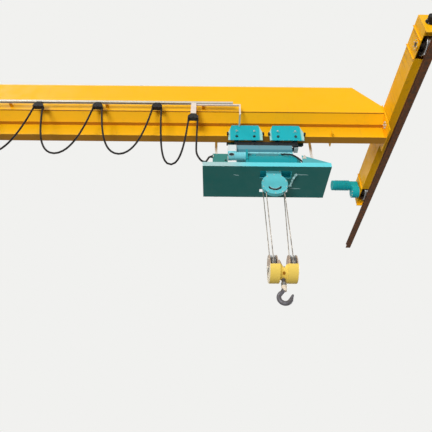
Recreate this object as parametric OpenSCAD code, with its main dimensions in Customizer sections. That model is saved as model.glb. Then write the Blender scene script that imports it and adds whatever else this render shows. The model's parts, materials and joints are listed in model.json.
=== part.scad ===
// Overhead bridge crane with one folded box girder and an underhung wire rope hoist.
// X runs along the girder to the right rail, Y along the runway, away from the cable
// side, and Z up. The origin is the centre of the left rail's foot underside.

/* [Runway] */
// Distance between the runway rails, centre to centre
span = 18000; // [14000:100:22000]
// Length of the runway rail on each side
rail_l = 6000; // [5600:100:9000]
// Height of a rail
rail_h = 107; // [100:1:125]
// Width of a rail's foot
rail_foot = 92; // [84:1:120]
// Width of a rail's head
rail_head = 51; // [45:1:54]
// Thickness of a rail's web
rail_web = 11; // [9:1:15]

/* [Girder] */
// Height of the girder's underside above the rail's foot
girder_z = 10; // [0:1:40]
// Height of the rolled beam that carries the hoist
beam_h = 300; // [280:1:340]
// Width of the rolled beam's flanges
beam_w = 130; // [120:1:150]
// Thickness of the rolled beam's flanges
beam_flange = 14; // [12:1:18]
// Thickness of the rolled beam's web
beam_web = 9; // [7:1:14]
// Width of the folded box over the beam
box_w = 400; // [340:1:440]
// Height of the folds where the slanted plates start
fold_h = 400; // [370:1:420]
// Height of the whole girder
girder_h = 1030; // [980:1:1120]
// Thickness of the girder's plates
plate_t = 6; // [5:1:10]
// Drop of the sloped top at each end of the girder
slope_drop = 460; // [420:1:480]
// Length of the sloped top at each end of the girder
slope_l = 400; // [300:1:600]
// Thickness of the plates that close the girder's ends
end_plate_t = 12; // [8:1:20]

/* [End carriages] */
// Width of an end carriage
carriage_w = 220; // [200:1:260]
// Height of an end carriage
carriage_h = 360; // [340:1:380]
// Distance from a wheel's centre to the end of its carriage
carriage_over = 250; // [200:10:300]
// Gap between a rail's top and the carriages
carriage_gap = 58; // [50:1:70]
// Wall thickness of an end carriage
carriage_t = 8; // [6:1:12]
// Distance between a carriage's wheels
wheel_base = 3000; // [2700:10:3100]
// Diameter of a bridge wheel's tread
wheel_d = 270; // [250:1:290]
// Width of a bridge wheel's tread
tread_w = 64; // [64:1:72]
// Depth of a bridge wheel's flanges
flange_d = 15; // [12:1:18]
// Diameter of a bridge wheel's axle
axle_d = 60; // [50:1:70]
// Diameter of a rubber buffer
buffer_d = 110; // [90:1:130]
// Length of a rubber buffer
buffer_l = 90; // [60:1:120]

/* [Festoon] */
// Distance of the cable track from the girder's centre
track_y = 322; // [315:1:340]
// Height of the cable track's underside in the girder
track_h = 430; // [425:1:440]
// Width and height of the cable track
track_w = 40; // [38:1:44]
// Wall thickness of the cable track
track_t = 3; // [2.5:0.5:4]
// Width of the slot under the cable track
track_slot = 18; // [16:1:20]
// Distance from the left rail to the cable's fixed end
anchor_x = 1694; // [1500:1:2000]
// Distance from the hoist's centre back to the towing arm
tow_back = 1106; // [1050:1:1200]
// Distance from the last saddle to the towing arm
last_loop = 560; // [500:1:620]
// Depth of a cable loop under its saddles
loop_depth = 1130; // [900:10:1200]
// Diameter of the festoon cable
cable_d = 28; // [24:1:30]
// Radius of a saddle's shoe
shoe_r = 52; // [48:1:54]
// Room that each saddle takes when all are pushed together
park_pitch = 170; // [168:1:180]
// Room left beside the anchor when all saddles are pushed together
park_room = 250; // [150:10:600]

/* [Hoist] */
// Distance from the right rail to the hoist's centre at rest
hoist_back = 1970; // [1900:10:2600]
// Travel of the hoist to the right
travel_right = 400; // [200:10:500]
// Distance between the centres of the two trolleys
trolley_gap = 628; // [600:1:660]
// Length of a trolley's side plates at the bottom
cheek_l = 520; // [480:1:540]
// Height of a trolley's side plates
cheek_h = 320; // [300:1:340]
// Thickness of a trolley's side plates
cheek_t = 12; // [10:1:16]
// Distance between a trolley's wheels
trolley_base = 266; // [240:1:290]
// Diameter of a trolley wheel's tread
runner_d = 120; // [110:1:130]
// Length of the beam between the trolleys
cross_l = 820; // [800:1:900]
// Height of the beam between the trolleys
cross_h = 170; // [150:1:180]
// Diameter of the drum's housing
drum_d = 380; // [370:1:390]
// Length of the drum's housing
drum_l = 650; // [630:1:700]
// Depth of the drum's axis under the girder
drum_drop = 610; // [605:1:630]
// Diameter of the hoist motor
motor_d = 130; // [110:1:134]
// Length of the hoist motor
motor_l = 250; // [220:1:270]
// Length of the dome that covers the gears
dome_l = 180; // [150:1:200]
// Width of the control box
panel_l = 215; // [180:1:220]
// Height of the control box
panel_h = 280; // [240:1:290]
// Depth of the fixed pulley's axis under the girder
pulley_drop = 1060; // [1040:1:1080]

/* [Heat shield] */
// Length of the shield under the hoist
shield_l = 1760; // [1700:1:1800]
// Width of the shield
shield_w = 660; // [620:1:700]
// Height of the shield's turned-up edges
lip_h = 75; // [60:1:90]
// Thickness of the shield's sheet
shield_t = 5; // [3:1:8]
// Depth of the shield under the girder
shield_drop = 900; // [890:1:910]
// Rise of the sloped hood at the shield's right end
hood_rise = 140; // [100:1:150]
// Width of the flat bars that hang the shield's far edge
hanger_w = 40; // [30:1:50]

/* [Hook block] */
// Depth of the block's axle under the girder at rest
block_drop = 2280; // [2200:10:2600]
// Distance between the block's two sheaves
sheave_gap = 244; // [236:1:256]
// Diameter of a sheave over its rims
sheave_d = 330; // [320:1:336]
// Width of a sheave
sheave_w = 46; // [42:1:50]
// Diameter of the wire rope
rope_d = 14; // [12:1:15]
// Diameter of the block's axle
block_axle_d = 50; // [44:1:56]
// Thickness of the block's housing
guard_t = 12; // [8:1:14]
// Inner radius of the hook's bowl
hook_r = 44; // [40:1:48]
// Thickness of the hook at its bowl
hook_t = 58; // [50:1:62]
// Distance from the block's axle down to the hook's lowest point
hook_drop = 508; // [490:1:540]

/* [Hidden] */
// Number of cable saddles
saddles = 14;

$fn = 64;
eps = 1;
seat = 0.3;
pin_gap = 0.1;
tube_gap = 0.5;

// Girder
beam_top = girder_z + beam_h;
box_top = girder_z + girder_h;
fold_z = girder_z + fold_h;
side_x = carriage_w / 2;
girder_x = side_x + end_plate_t;
girder_l = span - 2 * girder_x;
slope_z = box_top - slope_drop;
plate_width = box_w + 40;

// End carriages
carriage_l = wheel_base + 2 * carriage_over;
carriage_z = rail_h + carriage_gap;
wheel_r = wheel_d / 2;
wheel_z = rail_h + wheel_r + seat;
wheel_y = wheel_base / 2;
wheel_rim = 12;
bearing_r = 70;
bearing_w = 20;
axle_out = bearing_w + 5;
buffer_z = carriage_z + carriage_h / 2;
drive_w = 120;
drive_motor_d = 190;
drive_motor_l = 320;

// Festoon
track_z = girder_z + track_h;
cable_r = cable_d / 2;
arc_r = shoe_r + cable_r + tube_gap;
dome_r = arc_r + cable_r;
shoe_w = 48;
shoe_side = 6;
bridge_gap = 8;
bridge_t = 6;
shoe_z = track_z - bridge_gap - bridge_t - 6 - dome_r;
tow_x = span - hoist_back - tow_back;
tow_drop = 230;
tow_z = shoe_z - tow_drop;
first_saddle = tow_x - last_loop;
loop_pitch = (first_saddle - anchor_x) / saddles;
track_start = anchor_x - 250;
travel_left = tow_x - anchor_x - saddles * park_pitch - park_room;
track_end = tow_x + travel_right + 200;
left_angle = 25;
right_angle = 10;
arc_steps = 5;
loop_steps = 9;
cable_sides = 8;

// Hoist
hoist_x = span - hoist_back;
cheek_z = girder_z - 112;
far_cheek_z = girder_z - 55;
cheek_top = cheek_z + cheek_h;
cheek_y = beam_w / 2 + 19;
cheek_chamfer = 55;
runner_r = runner_d / 2;
runner_z = girder_z + beam_flange + runner_r + seat;
runner_in = 33;
runner_flange = 14;
bolt_z = girder_z - 36;
bolt_r = 12;
axle_r = 15;
boss_r = 28;
drive_z = girder_z - 5;
bumper_r = 28;
bumper_l = 45;
bumper_y = cheek_y + cheek_t + 10;
cross_z = girder_z - 400;
cross_w = 200;
cross_x = hoist_x - 40;
drum_x = hoist_x - 5;
drum_z = girder_z - drum_drop;
drum_r = drum_d / 2;
motor_x = drum_x - drum_l / 2 - motor_l;
motor_y = -120;
motor_z = drum_z + 130;
panel_x = motor_x - 10 - panel_l;
panel_y = -200;
panel_w = 300;
panel_z = drum_z - 180;
panel_top = panel_z + panel_h;
shield_x = hoist_x - 60;
shield_y = -30;
shield_z = girder_z - shield_drop;
pulley_x = hoist_x + 50;
pulley_y = -160;
pulley_z = girder_z - pulley_drop;
pulley_r = 125;
cover_r = 180;
cover_w = 56;
neck_w = 205;
pad_drop = 160;
wound_r = 150;
cross_lip = 10;
motor_cap = 60;
stop_gap = 12;

// Hook block
block_x = hoist_x + 80;
block_z = girder_z - block_drop;
rope_r = rope_d / 2;
sheave_r = sheave_d / 2;
pitch_r = sheave_r - 17;
guard_in = sheave_w + 2 * 17;
guard_w = guard_in + 2 * guard_t;
guard_r = sheave_r + 15 + guard_t;
cheek_top_r = sheave_r - 3;
guard_top = -45;
bowl_z = block_z - hook_drop + hook_t + hook_r;
rope_left = block_x - sheave_gap / 2;
rope_right = block_x + sheave_gap / 2;
wound_left = rope_left - 40;
wound_right = rope_right + 30;

yellow = [1.0, 0.72, 0.12];
block_yellow = [1.0, 0.80, 0.25];
teal = [0.16, 0.68, 0.74];
green = [0.12, 0.45, 0.42];
galvanised = [0.75, 0.76, 0.78];
steel = [0.55, 0.56, 0.58];
dark = [0.08, 0.08, 0.09];
rail_steel = [0.42, 0.36, 0.32];

// Extrudes a profile drawn in Y and Z along X
module along_x(x, l) {
    translate([x, 0, 0])
        rotate([90, 0, 90])
            linear_extrude(l)
                children();
}

// Extrudes a profile drawn in X and Z along Y, between y and y + l
module along_y(y, l) {
    translate([0, y + l, 0])
        rotate([90, 0, 0])
            linear_extrude(l)
                children();
}

// A round bar along X, between x and x + l
module bar_x(x, l, r) {
    translate([x, 0, 0])
        rotate([0, 90, 0])
            cylinder(h = l, r = r);
}

// A round bar along Y, between y and y + l
module bar_y(y, l, r) {
    translate([0, y + l, 0])
        rotate([90, 0, 0])
            cylinder(h = l, r = r);
}

// A box given by its two corners
module block(a, b) {
    translate(a)
        cube(b - a);
}

module both_sides() {
    children();
    mirror([0, 1, 0])
        children();
}

// Runway
module rail(x) {
    foot_edge = 8;
    foot_rise = 18;
    head_z = rail_h - 32;
    head_corner = 6;
    half = [
        [rail_foot / 2, 0],
        [rail_foot / 2, foot_edge],
        [rail_web / 2 + 6, foot_rise],
        [rail_web / 2, foot_rise + 8],
        [rail_web / 2, head_z - 8],
        [rail_head / 2, head_z],
        [rail_head / 2, rail_h - head_corner],
        [rail_head / 2 - head_corner, rail_h]
    ];
    color(rail_steel)
        translate([x, 0, 0])
            along_y(-rail_l / 2, rail_l)
                polygon(concat(half, [for (i = [len(half) - 1 : -1 : 0]) [-half[i][0], half[i][1]]]));
}

module rail_left() rail(0);

module rail_right() rail(span);

// Girder
// Two flanges and the web between them, each a bar of its own
module rolled_beam() {
    color(yellow)
        for (z = [girder_z, beam_top - beam_flange])
            along_x(girder_x, girder_l)
                translate([-beam_w / 2, z])
                    square([beam_w, beam_flange]);
    color(yellow)
        along_x(girder_x, girder_l)
            translate([-beam_web / 2, girder_z + beam_flange + pin_gap])
                square([beam_web, beam_h - 2 * (beam_flange + pin_gap)]);
}

// Side view of the box: flat top, with a slope down to each end
module box_outline(grow, inset, slope_inset) {
    slope = slope_drop / slope_l;
    x0 = girder_x;
    x1 = girder_x + girder_l;
    corner = slope_l + (slope_inset - inset) / slope;
    end_z = slope_z - grow * slope - slope_inset;
    polygon([
        [x0 - grow, fold_z - grow],
        [x1 + grow, fold_z - grow],
        [x1 + grow, end_z],
        [x1 - corner, box_top - inset],
        [x0 + corner, box_top - inset],
        [x0 - grow, end_z]
    ]);
}

module box_shell() {
    slope_t = plate_t * sqrt(1 + pow(slope_drop / slope_l, 2));
    color(yellow)
        difference() {
            along_y(-box_w / 2, box_w)
                box_outline(0, 0, 0);
            along_y(-box_w / 2 + plate_t, box_w - 2 * plate_t)
                box_outline(eps, plate_t, slope_t);
        }
}

module slanted_plates() {
    run = box_w / 2 - beam_w / 2;
    rise = fold_z - beam_top;
    wide = plate_t * sqrt(run * run + rise * rise) / rise;
    tall = plate_t * sqrt(run * run + rise * rise) / run;
    color(yellow)
        both_sides()
            along_x(girder_x, girder_l)
                polygon([
                    [-box_w / 2, fold_z],
                    [-beam_w / 2, beam_top - tall],
                    [-beam_w / 2, beam_top],
                    [-box_w / 2 + wide, fold_z]
                ]);
}

module girder_end_plates() {
    color(yellow)
        for (x = [side_x, span - side_x - end_plate_t])
            block([x, -plate_width / 2, girder_z], [x + end_plate_t, plate_width / 2, slope_z]);
}

// End carriages, drawn at X = 0 with the girder on the +X side
module end_carriage() {
    w = carriage_w / 2;
    l = carriage_l / 2;
    pocket = wheel_r + flange_d + 20;
    rib_t = 10;
    rib_out = 18;
    difference() {
        union() {
            block([-w, -l, carriage_z], [w, l, carriage_z + carriage_h]);
            for (y = [-wheel_y, wheel_y])
                translate([0, y, wheel_z])
                    bar_x(-w - bearing_w, 2 * (w + bearing_w), bearing_r);
            both_sides() {
                block([-w, l - carriage_t, rail_h + 12], [w, l, carriage_z + eps]);
                for (y = [wheel_y - pocket - rib_t, wheel_y + bearing_r + 25])
                    block([-w - rib_out, y, carriage_z], [w + rib_out, y + rib_t, carriage_z + carriage_h]);
            }
        }
        block(
            [-w + carriage_t, -l + carriage_t, carriage_z + carriage_t],
            [w - carriage_t, l - carriage_t, carriage_z + carriage_h - carriage_t]
        );
        for (y = [-wheel_y, wheel_y]) {
            block([-w + carriage_t, y - pocket, 0], [w - carriage_t, y + pocket, wheel_z]);
            translate([0, y, wheel_z])
                bar_x(-w - bearing_w - eps, 2 * (w + bearing_w + eps), axle_d / 2 + pin_gap);
        }
    }
}

module end_carriage_left() {
    color(yellow)
        end_carriage();
}

module end_carriage_right() {
    color(yellow)
        translate([span, 0, 0])
            mirror([1, 0, 0])
                end_carriage();
}

module carriage_buffers() {
    color(dark)
        for (x = [0, span])
            both_sides()
                translate([x, 0, buffer_z]) {
                    bar_y(carriage_l / 2, 10, buffer_d / 2 + 12);
                    bar_y(carriage_l / 2, buffer_l, buffer_d / 2);
                }
}

// Gear case on the wheel's bearing, with a finned motor towards mid-span
module travel_drive() {
    x = carriage_w / 2 + bearing_w;
    fins = 8;
    fin_gap = drive_motor_l / (fins + 2);
    translate([0, wheel_y, wheel_z])
        difference() {
            union() {
                bar_x(x, drive_w, 110);
                translate([0, 0, 150])
                    bar_x(x, drive_w, 80);
                block([x, -80, 0], [x + drive_w, 80, 150]);
                translate([0, 0, 150]) {
                    bar_x(x + drive_w - eps, drive_motor_l, drive_motor_d / 2 - 14);
                    for (i = [1 : fins])
                        bar_x(x + drive_w + i * fin_gap, 10, drive_motor_d / 2);
                    bar_x(x + drive_w + drive_motor_l - 40, 55, drive_motor_d / 2 - 4);
                }
            }
            bar_x(x - eps, axle_out + 5, axle_d / 2 + 5);
        }
}

module travel_drive_left() {
    color(teal)
        travel_drive();
}

module travel_drive_right() {
    color(teal)
        translate([span, 0, 0])
            mirror([1, 0, 0])
                travel_drive();
}

// One bridge wheel with its axle, turned about X
module bridge_wheel(x, y) {
    half = tread_w / 2;
    rim = half + wheel_rim;
    hub_r = axle_d / 2 + 28;
    rim_in = wheel_r - 34;
    web = 11;
    color(steel)
        translate([x, y, wheel_z])
            rotate([0, 90, 0])
                rotate_extrude()
                    polygon([
                        [0, -carriage_w / 2 - axle_out],
                        [axle_d / 2, -carriage_w / 2 - axle_out],
                        [axle_d / 2, -rim - 6],
                        [hub_r, -rim - 6],
                        [hub_r, -web],
                        [rim_in, -web],
                        [rim_in, -rim],
                        [wheel_r + flange_d - 4, -rim],
                        [wheel_r + flange_d, -half - 4],
                        [wheel_r, -half],
                        [wheel_r, half],
                        [wheel_r + flange_d, half + 4],
                        [wheel_r + flange_d - 4, rim],
                        [rim_in, rim],
                        [rim_in, web],
                        [hub_r, web],
                        [hub_r, rim + 6],
                        [axle_d / 2, rim + 6],
                        [axle_d / 2, carriage_w / 2 + axle_out],
                        [0, carriage_w / 2 + axle_out]
                    ]);
}

module wheel_left_near() bridge_wheel(0, -wheel_y);

module wheel_left_far() bridge_wheel(0, wheel_y);

module wheel_right_near() bridge_wheel(span, -wheel_y);

module wheel_right_far() bridge_wheel(span, wheel_y);

// Festoon
module cable_track() {
    w = track_w / 2;
    color(galvanised)
        translate([0, -track_y, 0])
            along_x(track_start, track_end - track_start)
                difference() {
                    translate([-w, track_z])
                        square([track_w, track_w]);
                    translate([-w + track_t, track_z + track_t])
                        square([track_w - 2 * track_t, track_w - 2 * track_t]);
                    translate([-track_slot / 2, track_z - eps])
                        square([track_slot, track_t + 2 * eps]);
                }
}

// Angle arms from the box's side to the track's top
module track_brackets() {
    bay = 1500;
    arm_w = 50;
    arm_t = 6;
    tab = 70;
    top = track_z + track_w;
    count = floor((track_end - track_start - 200) / bay);
    color(yellow)
        for (i = [0 : count])
            translate([track_start + 100 + i * bay, 0, 0]) {
                block([0, -track_y - track_w / 2, top], [arm_w, -box_w / 2, top + arm_t]);
                block([0, -box_w / 2 - arm_t, top], [arm_w, -box_w / 2, top + tab]);
            }
}

// Shoe and dome that a cable lies over, with its centre at the origin
module cable_shoe() {
    half = shoe_w / 2;
    difference() {
        union() {
            bar_y(-half, shoe_w, shoe_r);
            both_sides()
                bar_y(half, shoe_side, dome_r);
        }
        block([-2 * dome_r, -shoe_w, -2 * dome_r], [2 * dome_r, shoe_w, -18]);
    }
}

// Carriage that rolls inside the track and carries a shoe under it
module track_carriage(shoe_drop) {
    plate = 8;
    long = 80;
    roller_r = 11;
    roller_z = track_z + track_t + roller_r + seat;
    under = track_z - bridge_gap;
    half = shoe_w / 2;
    block([-long / 2, -plate / 2, under - eps], [long / 2, plate / 2, roller_z + 6]);
    for (x = [-long / 2 + roller_r, long / 2 - roller_r])
        translate([x, 0, roller_z]) {
            bar_y(-15, 30, 4);
            both_sides()
                bar_y(10, 6, roller_r);
        }
    block([-long / 2, -half - shoe_side, under - bridge_t], [long / 2, half + shoe_side, under]);
    both_sides()
        block(
            [-long / 2, half, shoe_z - shoe_drop],
            [long / 2, half + shoe_side, under - eps]
        );
    translate([0, 0, shoe_z - shoe_drop])
        cable_shoe();
}

module saddle(i) {
    color(dark)
        translate([first_saddle - (i - 1) * loop_pitch, -track_y, 0])
            track_carriage(0);
}

// Shoe fixed to the track, where the first loop starts
module cable_anchor() {
    half = shoe_w / 2;
    color(dark)
        translate([anchor_x, -track_y, 0]) {
            both_sides()
                block([-40, half, shoe_z], [40, half + shoe_side, track_z]);
            translate([0, 0, shoe_z])
                cable_shoe();
        }
}

// Points of the cable's centre line over one shoe, left to right
function arc_points(x, z, from, to) =
    let (r = arc_r / cos((from - to) / arc_steps / 2))
    [for (k = [0 : arc_steps])
        let (a = from - k * (from - to) / arc_steps)
        [x + r * cos(a), z + r * sin(a)]];

function bezier(a, b, c, d, t) =
    pow(1 - t, 3) * a + 3 * t * pow(1 - t, 2) * b + 3 * t * t * (1 - t) * c + pow(t, 3) * d;

// Points of one hanging loop, without its two ends
function loop_points(x0, z0, x1, z1) =
    let (
        a = [x0 + arc_r * cos(right_angle), z0 + arc_r * sin(right_angle)],
        d = [x1 + arc_r * cos(180 - left_angle), z1 + arc_r * sin(180 - left_angle)],
        reach = loop_depth / 0.75 / (cos(right_angle) + cos(left_angle)) * 2,
        b = a + reach * [sin(right_angle), -cos(right_angle)],
        c = d + (reach + z1 - z0) * [-sin(left_angle), -cos(left_angle)]
    )
    [for (k = [1 : loop_steps - 1]) bezier(a, b, c, d, k / loop_steps)];

function saddle_x(k) = anchor_x + k * loop_pitch;

// The same points in the cable's plane
function beside_track(points) = [for (p = points) [p[0], -track_y, p[1]]];

// Closed tube along points, none of which heads along Y
module tube(points, r, sides) {
    n = len(points);
    ring = [for (i = [0 : n - 1])
        let (
            ahead = points[min(i + 1, n - 1)] - points[max(i - 1, 0)],
            across = cross(ahead, [0, 1, 0]),
            side = across / norm(across),
            up = cross(side, ahead) / norm(ahead)
        )
        [for (j = [0 : sides - 1])
            let (a = 360 * j / sides)
            points[i] + r * cos(a) * side + r * sin(a) * up]];
    polyhedron(
        points = [for (one = ring) each one],
        faces = concat(
            [[for (j = [sides - 1 : -1 : 0]) j]],
            [for (i = [0 : n - 2]) for (j = [0 : sides - 1])
                let (k = (j + 1) % sides)
                each [
                    [i * sides + j, (i + 1) * sides + k, (i + 1) * sides + j],
                    [i * sides + j, i * sides + k, (i + 1) * sides + k]
                ]],
            [[for (j = [0 : sides - 1]) (n - 1) * sides + j]]
        )
    );
}

module festoon_cable() {
    points = concat(
        arc_points(anchor_x, shoe_z, 150, right_angle),
        [for (k = [0 : saddles]) each concat(
            k < saddles
                ? loop_points(saddle_x(k), shoe_z, saddle_x(k + 1), shoe_z)
                : loop_points(saddle_x(k), shoe_z, tow_x, tow_z),
            k < saddles
                ? arc_points(saddle_x(k + 1), shoe_z, 180 - left_angle, right_angle)
                : [[tow_x + arc_r * cos(180 - left_angle), tow_z + arc_r * sin(180 - left_angle)]]
        )]
    );
    color(dark)
        tube(beside_track(points), cable_r, cable_sides);
}

// Brackets at both ends of the hoist's travel, which its buffers meet
module trolley_stops() {
    reach = bumper_y + bumper_r;
    top = girder_z + 90;
    half = 8;
    from_hoist = trolley_gap / 2 + cheek_l / 2 + bumper_l / 2 + stop_gap + half;
    color(yellow)
        for (x = [hoist_x - travel_left - from_hoist, hoist_x + travel_right + from_hoist])
            both_sides() {
                block(
                    [x - half, beam_web / 2, girder_z + beam_flange],
                    [x + half, reach, top]
                );
                block([x - half, beam_w / 2, girder_z], [x + half, reach, top]);
            }
}

// Side plate of a trolley on the +Y side, down to the height low
module cheek(low) {
    half = cheek_l / 2;
    shoulder = cheek_top - 150;
    washer_y = runner_in - 6;
    along_y(cheek_y, cheek_t)
        polygon([
            [-half, low],
            [half, low],
            [half, shoulder],
            [half - cheek_chamfer, cheek_top],
            [-half + cheek_chamfer, cheek_top],
            [-half, shoulder]
        ]);
    for (side = [-trolley_base / 2, trolley_base / 2])
        translate([side, 0, runner_z]) {
            bar_y(washer_y, cheek_y + cheek_t + 8 - washer_y, axle_r);
            bar_y(washer_y, 4, axle_r + 7);
            bar_y(cheek_y + cheek_t - eps, 9, boss_r);
        }
}

module trolley(x) {
    out = cheek_y + cheek_t + 18;
    color(teal)
        translate([x, 0, 0]) {
            cheek(far_cheek_z);
            mirror([0, 1, 0])
                cheek(cheek_z);
            for (side = [-trolley_base / 2, trolley_base / 2])
                translate([side, 0, bolt_z])
                    bar_y(-out, 2 * out, bolt_r);
        }
}

module trolley_left() trolley(hoist_x - trolley_gap / 2);

module trolley_right() trolley(hoist_x + trolley_gap / 2);

module trolley_buffers() {
    color(dark)
        for (x = [hoist_x - trolley_gap / 2, hoist_x + trolley_gap / 2])
            for (way = [-1, 1])
                both_sides()
                    translate([x + way * cheek_l / 2, bumper_y, girder_z + 10])
                        bar_x(way > 0 ? 0 : -bumper_l / 2, bumper_l / 2, bumper_r);
}

// A near and a far wheel of the trolley, on one axis
module runners(x) {
    tread_end = beam_w / 2 + 5;
    color(steel)
        both_sides()
            translate([x, 0, runner_z])
                rotate([-90, 0, 0])
                    rotate_extrude()
                        polygon([
                            [axle_r + pin_gap, runner_in],
                            [runner_r, runner_in],
                            [runner_r, tread_end],
                            [runner_r + runner_flange, tread_end + 1],
                            [runner_r + runner_flange, tread_end + 9],
                            [axle_r + pin_gap, tread_end + 9]
                        ]);
}

module runners_1() runners(hoist_x - trolley_gap / 2 - trolley_base / 2);

module runners_2() runners(hoist_x - trolley_gap / 2 + trolley_base / 2);

module runners_3() runners(hoist_x + trolley_gap / 2 - trolley_base / 2);

module runners_4() runners(hoist_x + trolley_gap / 2 + trolley_base / 2);

// Geared motor on the left trolley's far side
module trolley_drive() {
    y = cheek_y + cheek_t;
    low = -60;
    color(teal)
        translate([hoist_x - trolley_gap / 2, 0, drive_z])
            difference() {
                union() {
                    block([-150, y, low], [150, y + 80, runner_z - boss_r - 6 - drive_z]);
                    bar_y(y + 79, 40, 85);
                    bar_y(y + 118, 230, 75);
                    for (i = [0 : 6])
                        bar_y(y + 130 + i * 28, 8, 85);
                }
                for (side = [-trolley_base / 2, trolley_base / 2])
                    translate([side, 0, bolt_z - drive_z])
                        bar_y(y - eps, 18 + 2 * eps, bolt_r + 2);
            }
}

// Hollow beam under both trolleys, whose lugs hang on the tie bolts
module cross_beam() {
    l = cross_l / 2;
    w = cross_w / 2;
    t = cross_lip;
    lug = 30;
    lug_y = 50;
    color(teal)
        difference() {
            union() {
                block([cross_x - l, -w, cross_z], [cross_x + l, w, cross_z + cross_h]);
                block([cross_x - l, -w - 15, cross_z - t], [cross_x + l, w + 15, cross_z + eps]);
                for (middle = [-trolley_gap / 2, trolley_gap / 2])
                    for (side = [-trolley_base / 2, trolley_base / 2])
                        translate([hoist_x + middle + side, 0, 0])
                            block([-lug, -lug_y, cross_z + cross_h - eps], [lug, lug_y, bolt_z + 22]);
            }
            block([cross_x - l - eps, -w + t, cross_z + t], [cross_x + l + eps, w - t, cross_z + cross_h - t]);
            for (middle = [-trolley_gap / 2, trolley_gap / 2])
                for (side = [-trolley_base / 2, trolley_base / 2])
                    translate([hoist_x + middle + side, 0, bolt_z])
                        bar_y(-lug_y - eps, 2 * (lug_y + eps), bolt_r + seat);
        }
}

// Two end plates on legs, the tube between them with its feet and the pad for the pulley
// cover, and the rope drum inside it
module drum_housing() {
    l = drum_l / 2;
    t = 8;
    end_w = 30;
    foot_x = l * 0.7;
    pad_x = pulley_x - drum_x;
    inside = l - end_w - pin_gap;
    color(teal)
        translate([drum_x, 0, drum_z]) {
            for (x = [-l, l - end_w]) {
                bar_x(x, end_w, drum_r + 8);
                both_sides()
                    block([x, 140, shield_z + shield_t - drum_z], [x + end_w, 170, -60]);
            }
            block([-l, motor_y - 90, 0], [-l + end_w, 60, motor_z + motor_d / 2 - 5 - drum_z]);
            difference() {
                union() {
                    bar_x(-inside, 2 * inside, drum_r);
                    for (x = [-foot_x, foot_x - 60])
                        block([x, -90, 0], [x + 60, 90, cross_z - cross_lip - drum_z]);
                    block(
                        [pad_x - neck_w / 2 - 10, pulley_y - cover_w / 2, -pad_drop],
                        [pad_x + neck_w / 2 + 10, pulley_y + cover_w / 2, -60]
                    );
                }
                bar_x(-l, 2 * l, drum_r - t);
                block([-l + 60, wound_r - 25, -drum_r - 20], [l - 60, wound_r + 25, 0]);
            }
            bar_x(-inside, 2 * inside, wound_r - rope_r - tube_gap);
        }
}

// Finned motor on the housing's left end plate, with its terminal box on top
module hoist_motor() {
    r = motor_d / 2;
    case_w = 90;
    fins = 6;
    fin_pitch = (motor_l - motor_cap) / (fins + 1);
    color(galvanised)
        difference() {
            union() {
                translate([motor_x, motor_y, motor_z]) {
                    bar_x(0, motor_l, r - 7);
                    bar_x(0, motor_cap, r - 2);
                    bar_x(motor_l - 10, 10, r);
                    for (i = [1 : fins])
                        bar_x(motor_cap + i * fin_pitch - 8, 6, r);
                }
                block(
                    [motor_x - 5, motor_y - case_w / 2, motor_z + r - 15],
                    [motor_x + 120, motor_y + case_w / 2, motor_z + r + 125]
                );
            }
            translate([motor_x, motor_y, motor_z])
                bar_x(-eps, 14, r - 16);
        }
}

// Domed cover over the gears at the housing's right end
module gearbox() {
    r = drum_r + 8;
    rise = dome_l * 0.6;
    ball = (r * r + rise * rise) / (2 * rise);
    color(teal)
        translate([drum_x + drum_l / 2, 0, drum_z])
            intersection() {
                bar_x(0, dome_l, r);
                translate([dome_l - ball, 0, 0])
                    sphere(r = ball, $fn = 96);
            }
}

// Box with a raised door, on two feet that stand in the shield
module control_box() {
    frame = 10;
    color(green) {
        block([panel_x, panel_y, panel_z], [panel_x + panel_l, panel_y + panel_w, panel_top]);
        block(
            [panel_x + frame, panel_y - 8, panel_z + frame],
            [panel_x + panel_l - frame, panel_y + eps, panel_top - frame]
        );
        for (x = [panel_x + 25, panel_x + panel_l - 55])
            block(
                [x, panel_y + 20, shield_z + shield_t],
                [x + 30, panel_y + panel_w - 20, panel_z + eps]
            );
    }
}

// Sheet tray under the hoist with a hole for the ropes, and a sloped hood at its right end
module heat_shield() {
    l = shield_l / 2;
    w = shield_w / 2;
    rope_room = [45, 32];
    hood_x = drum_x + drum_l / 2 + dome_l + 30 - shield_x;
    hood_end = l - 20;
    hood_lap = 100;
    hood_start = hood_x - hood_lap;
    hood_top = lip_h + hood_rise;
    hood_z = hood_top - hood_lap * hood_rise / (hood_end - hood_start);
    color(teal)
        difference() {
            translate([shield_x, shield_y, shield_z]) {
                difference() {
                    block([-l, -w, 0], [l, w, lip_h]);
                    block([-l + shield_t, -w + shield_t, shield_t], [l - shield_t, w - shield_t, lip_h + eps]);
                }
                for (y = [-w, w - shield_t])
                    along_y(y, shield_t)
                        polygon([
                            [hood_start, lip_h - eps],
                            [hood_end, lip_h - eps],
                            [hood_end, lip_h + 2],
                            [hood_start, hood_top]
                        ]);
                along_y(-w + eps, 2 * (w - eps))
                    polygon([
                        [hood_x, hood_z - shield_t],
                        [hood_end, lip_h + 2 - shield_t],
                        [hood_end, lip_h + 2],
                        [hood_x, hood_z]
                    ]);
            }
            block(
                [pulley_x - 195, pulley_y - 110, shield_z - eps],
                [pulley_x + 240, pulley_y + 35, shield_z + shield_t + eps]
            );
            for (x = [wound_left, wound_right])
                block(
                    [x - rope_room[0], wound_r - rope_room[1], shield_z - eps],
                    [x + rope_room[0], wound_r + rope_room[1], shield_z + shield_t + eps]
                );
        }
}

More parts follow.
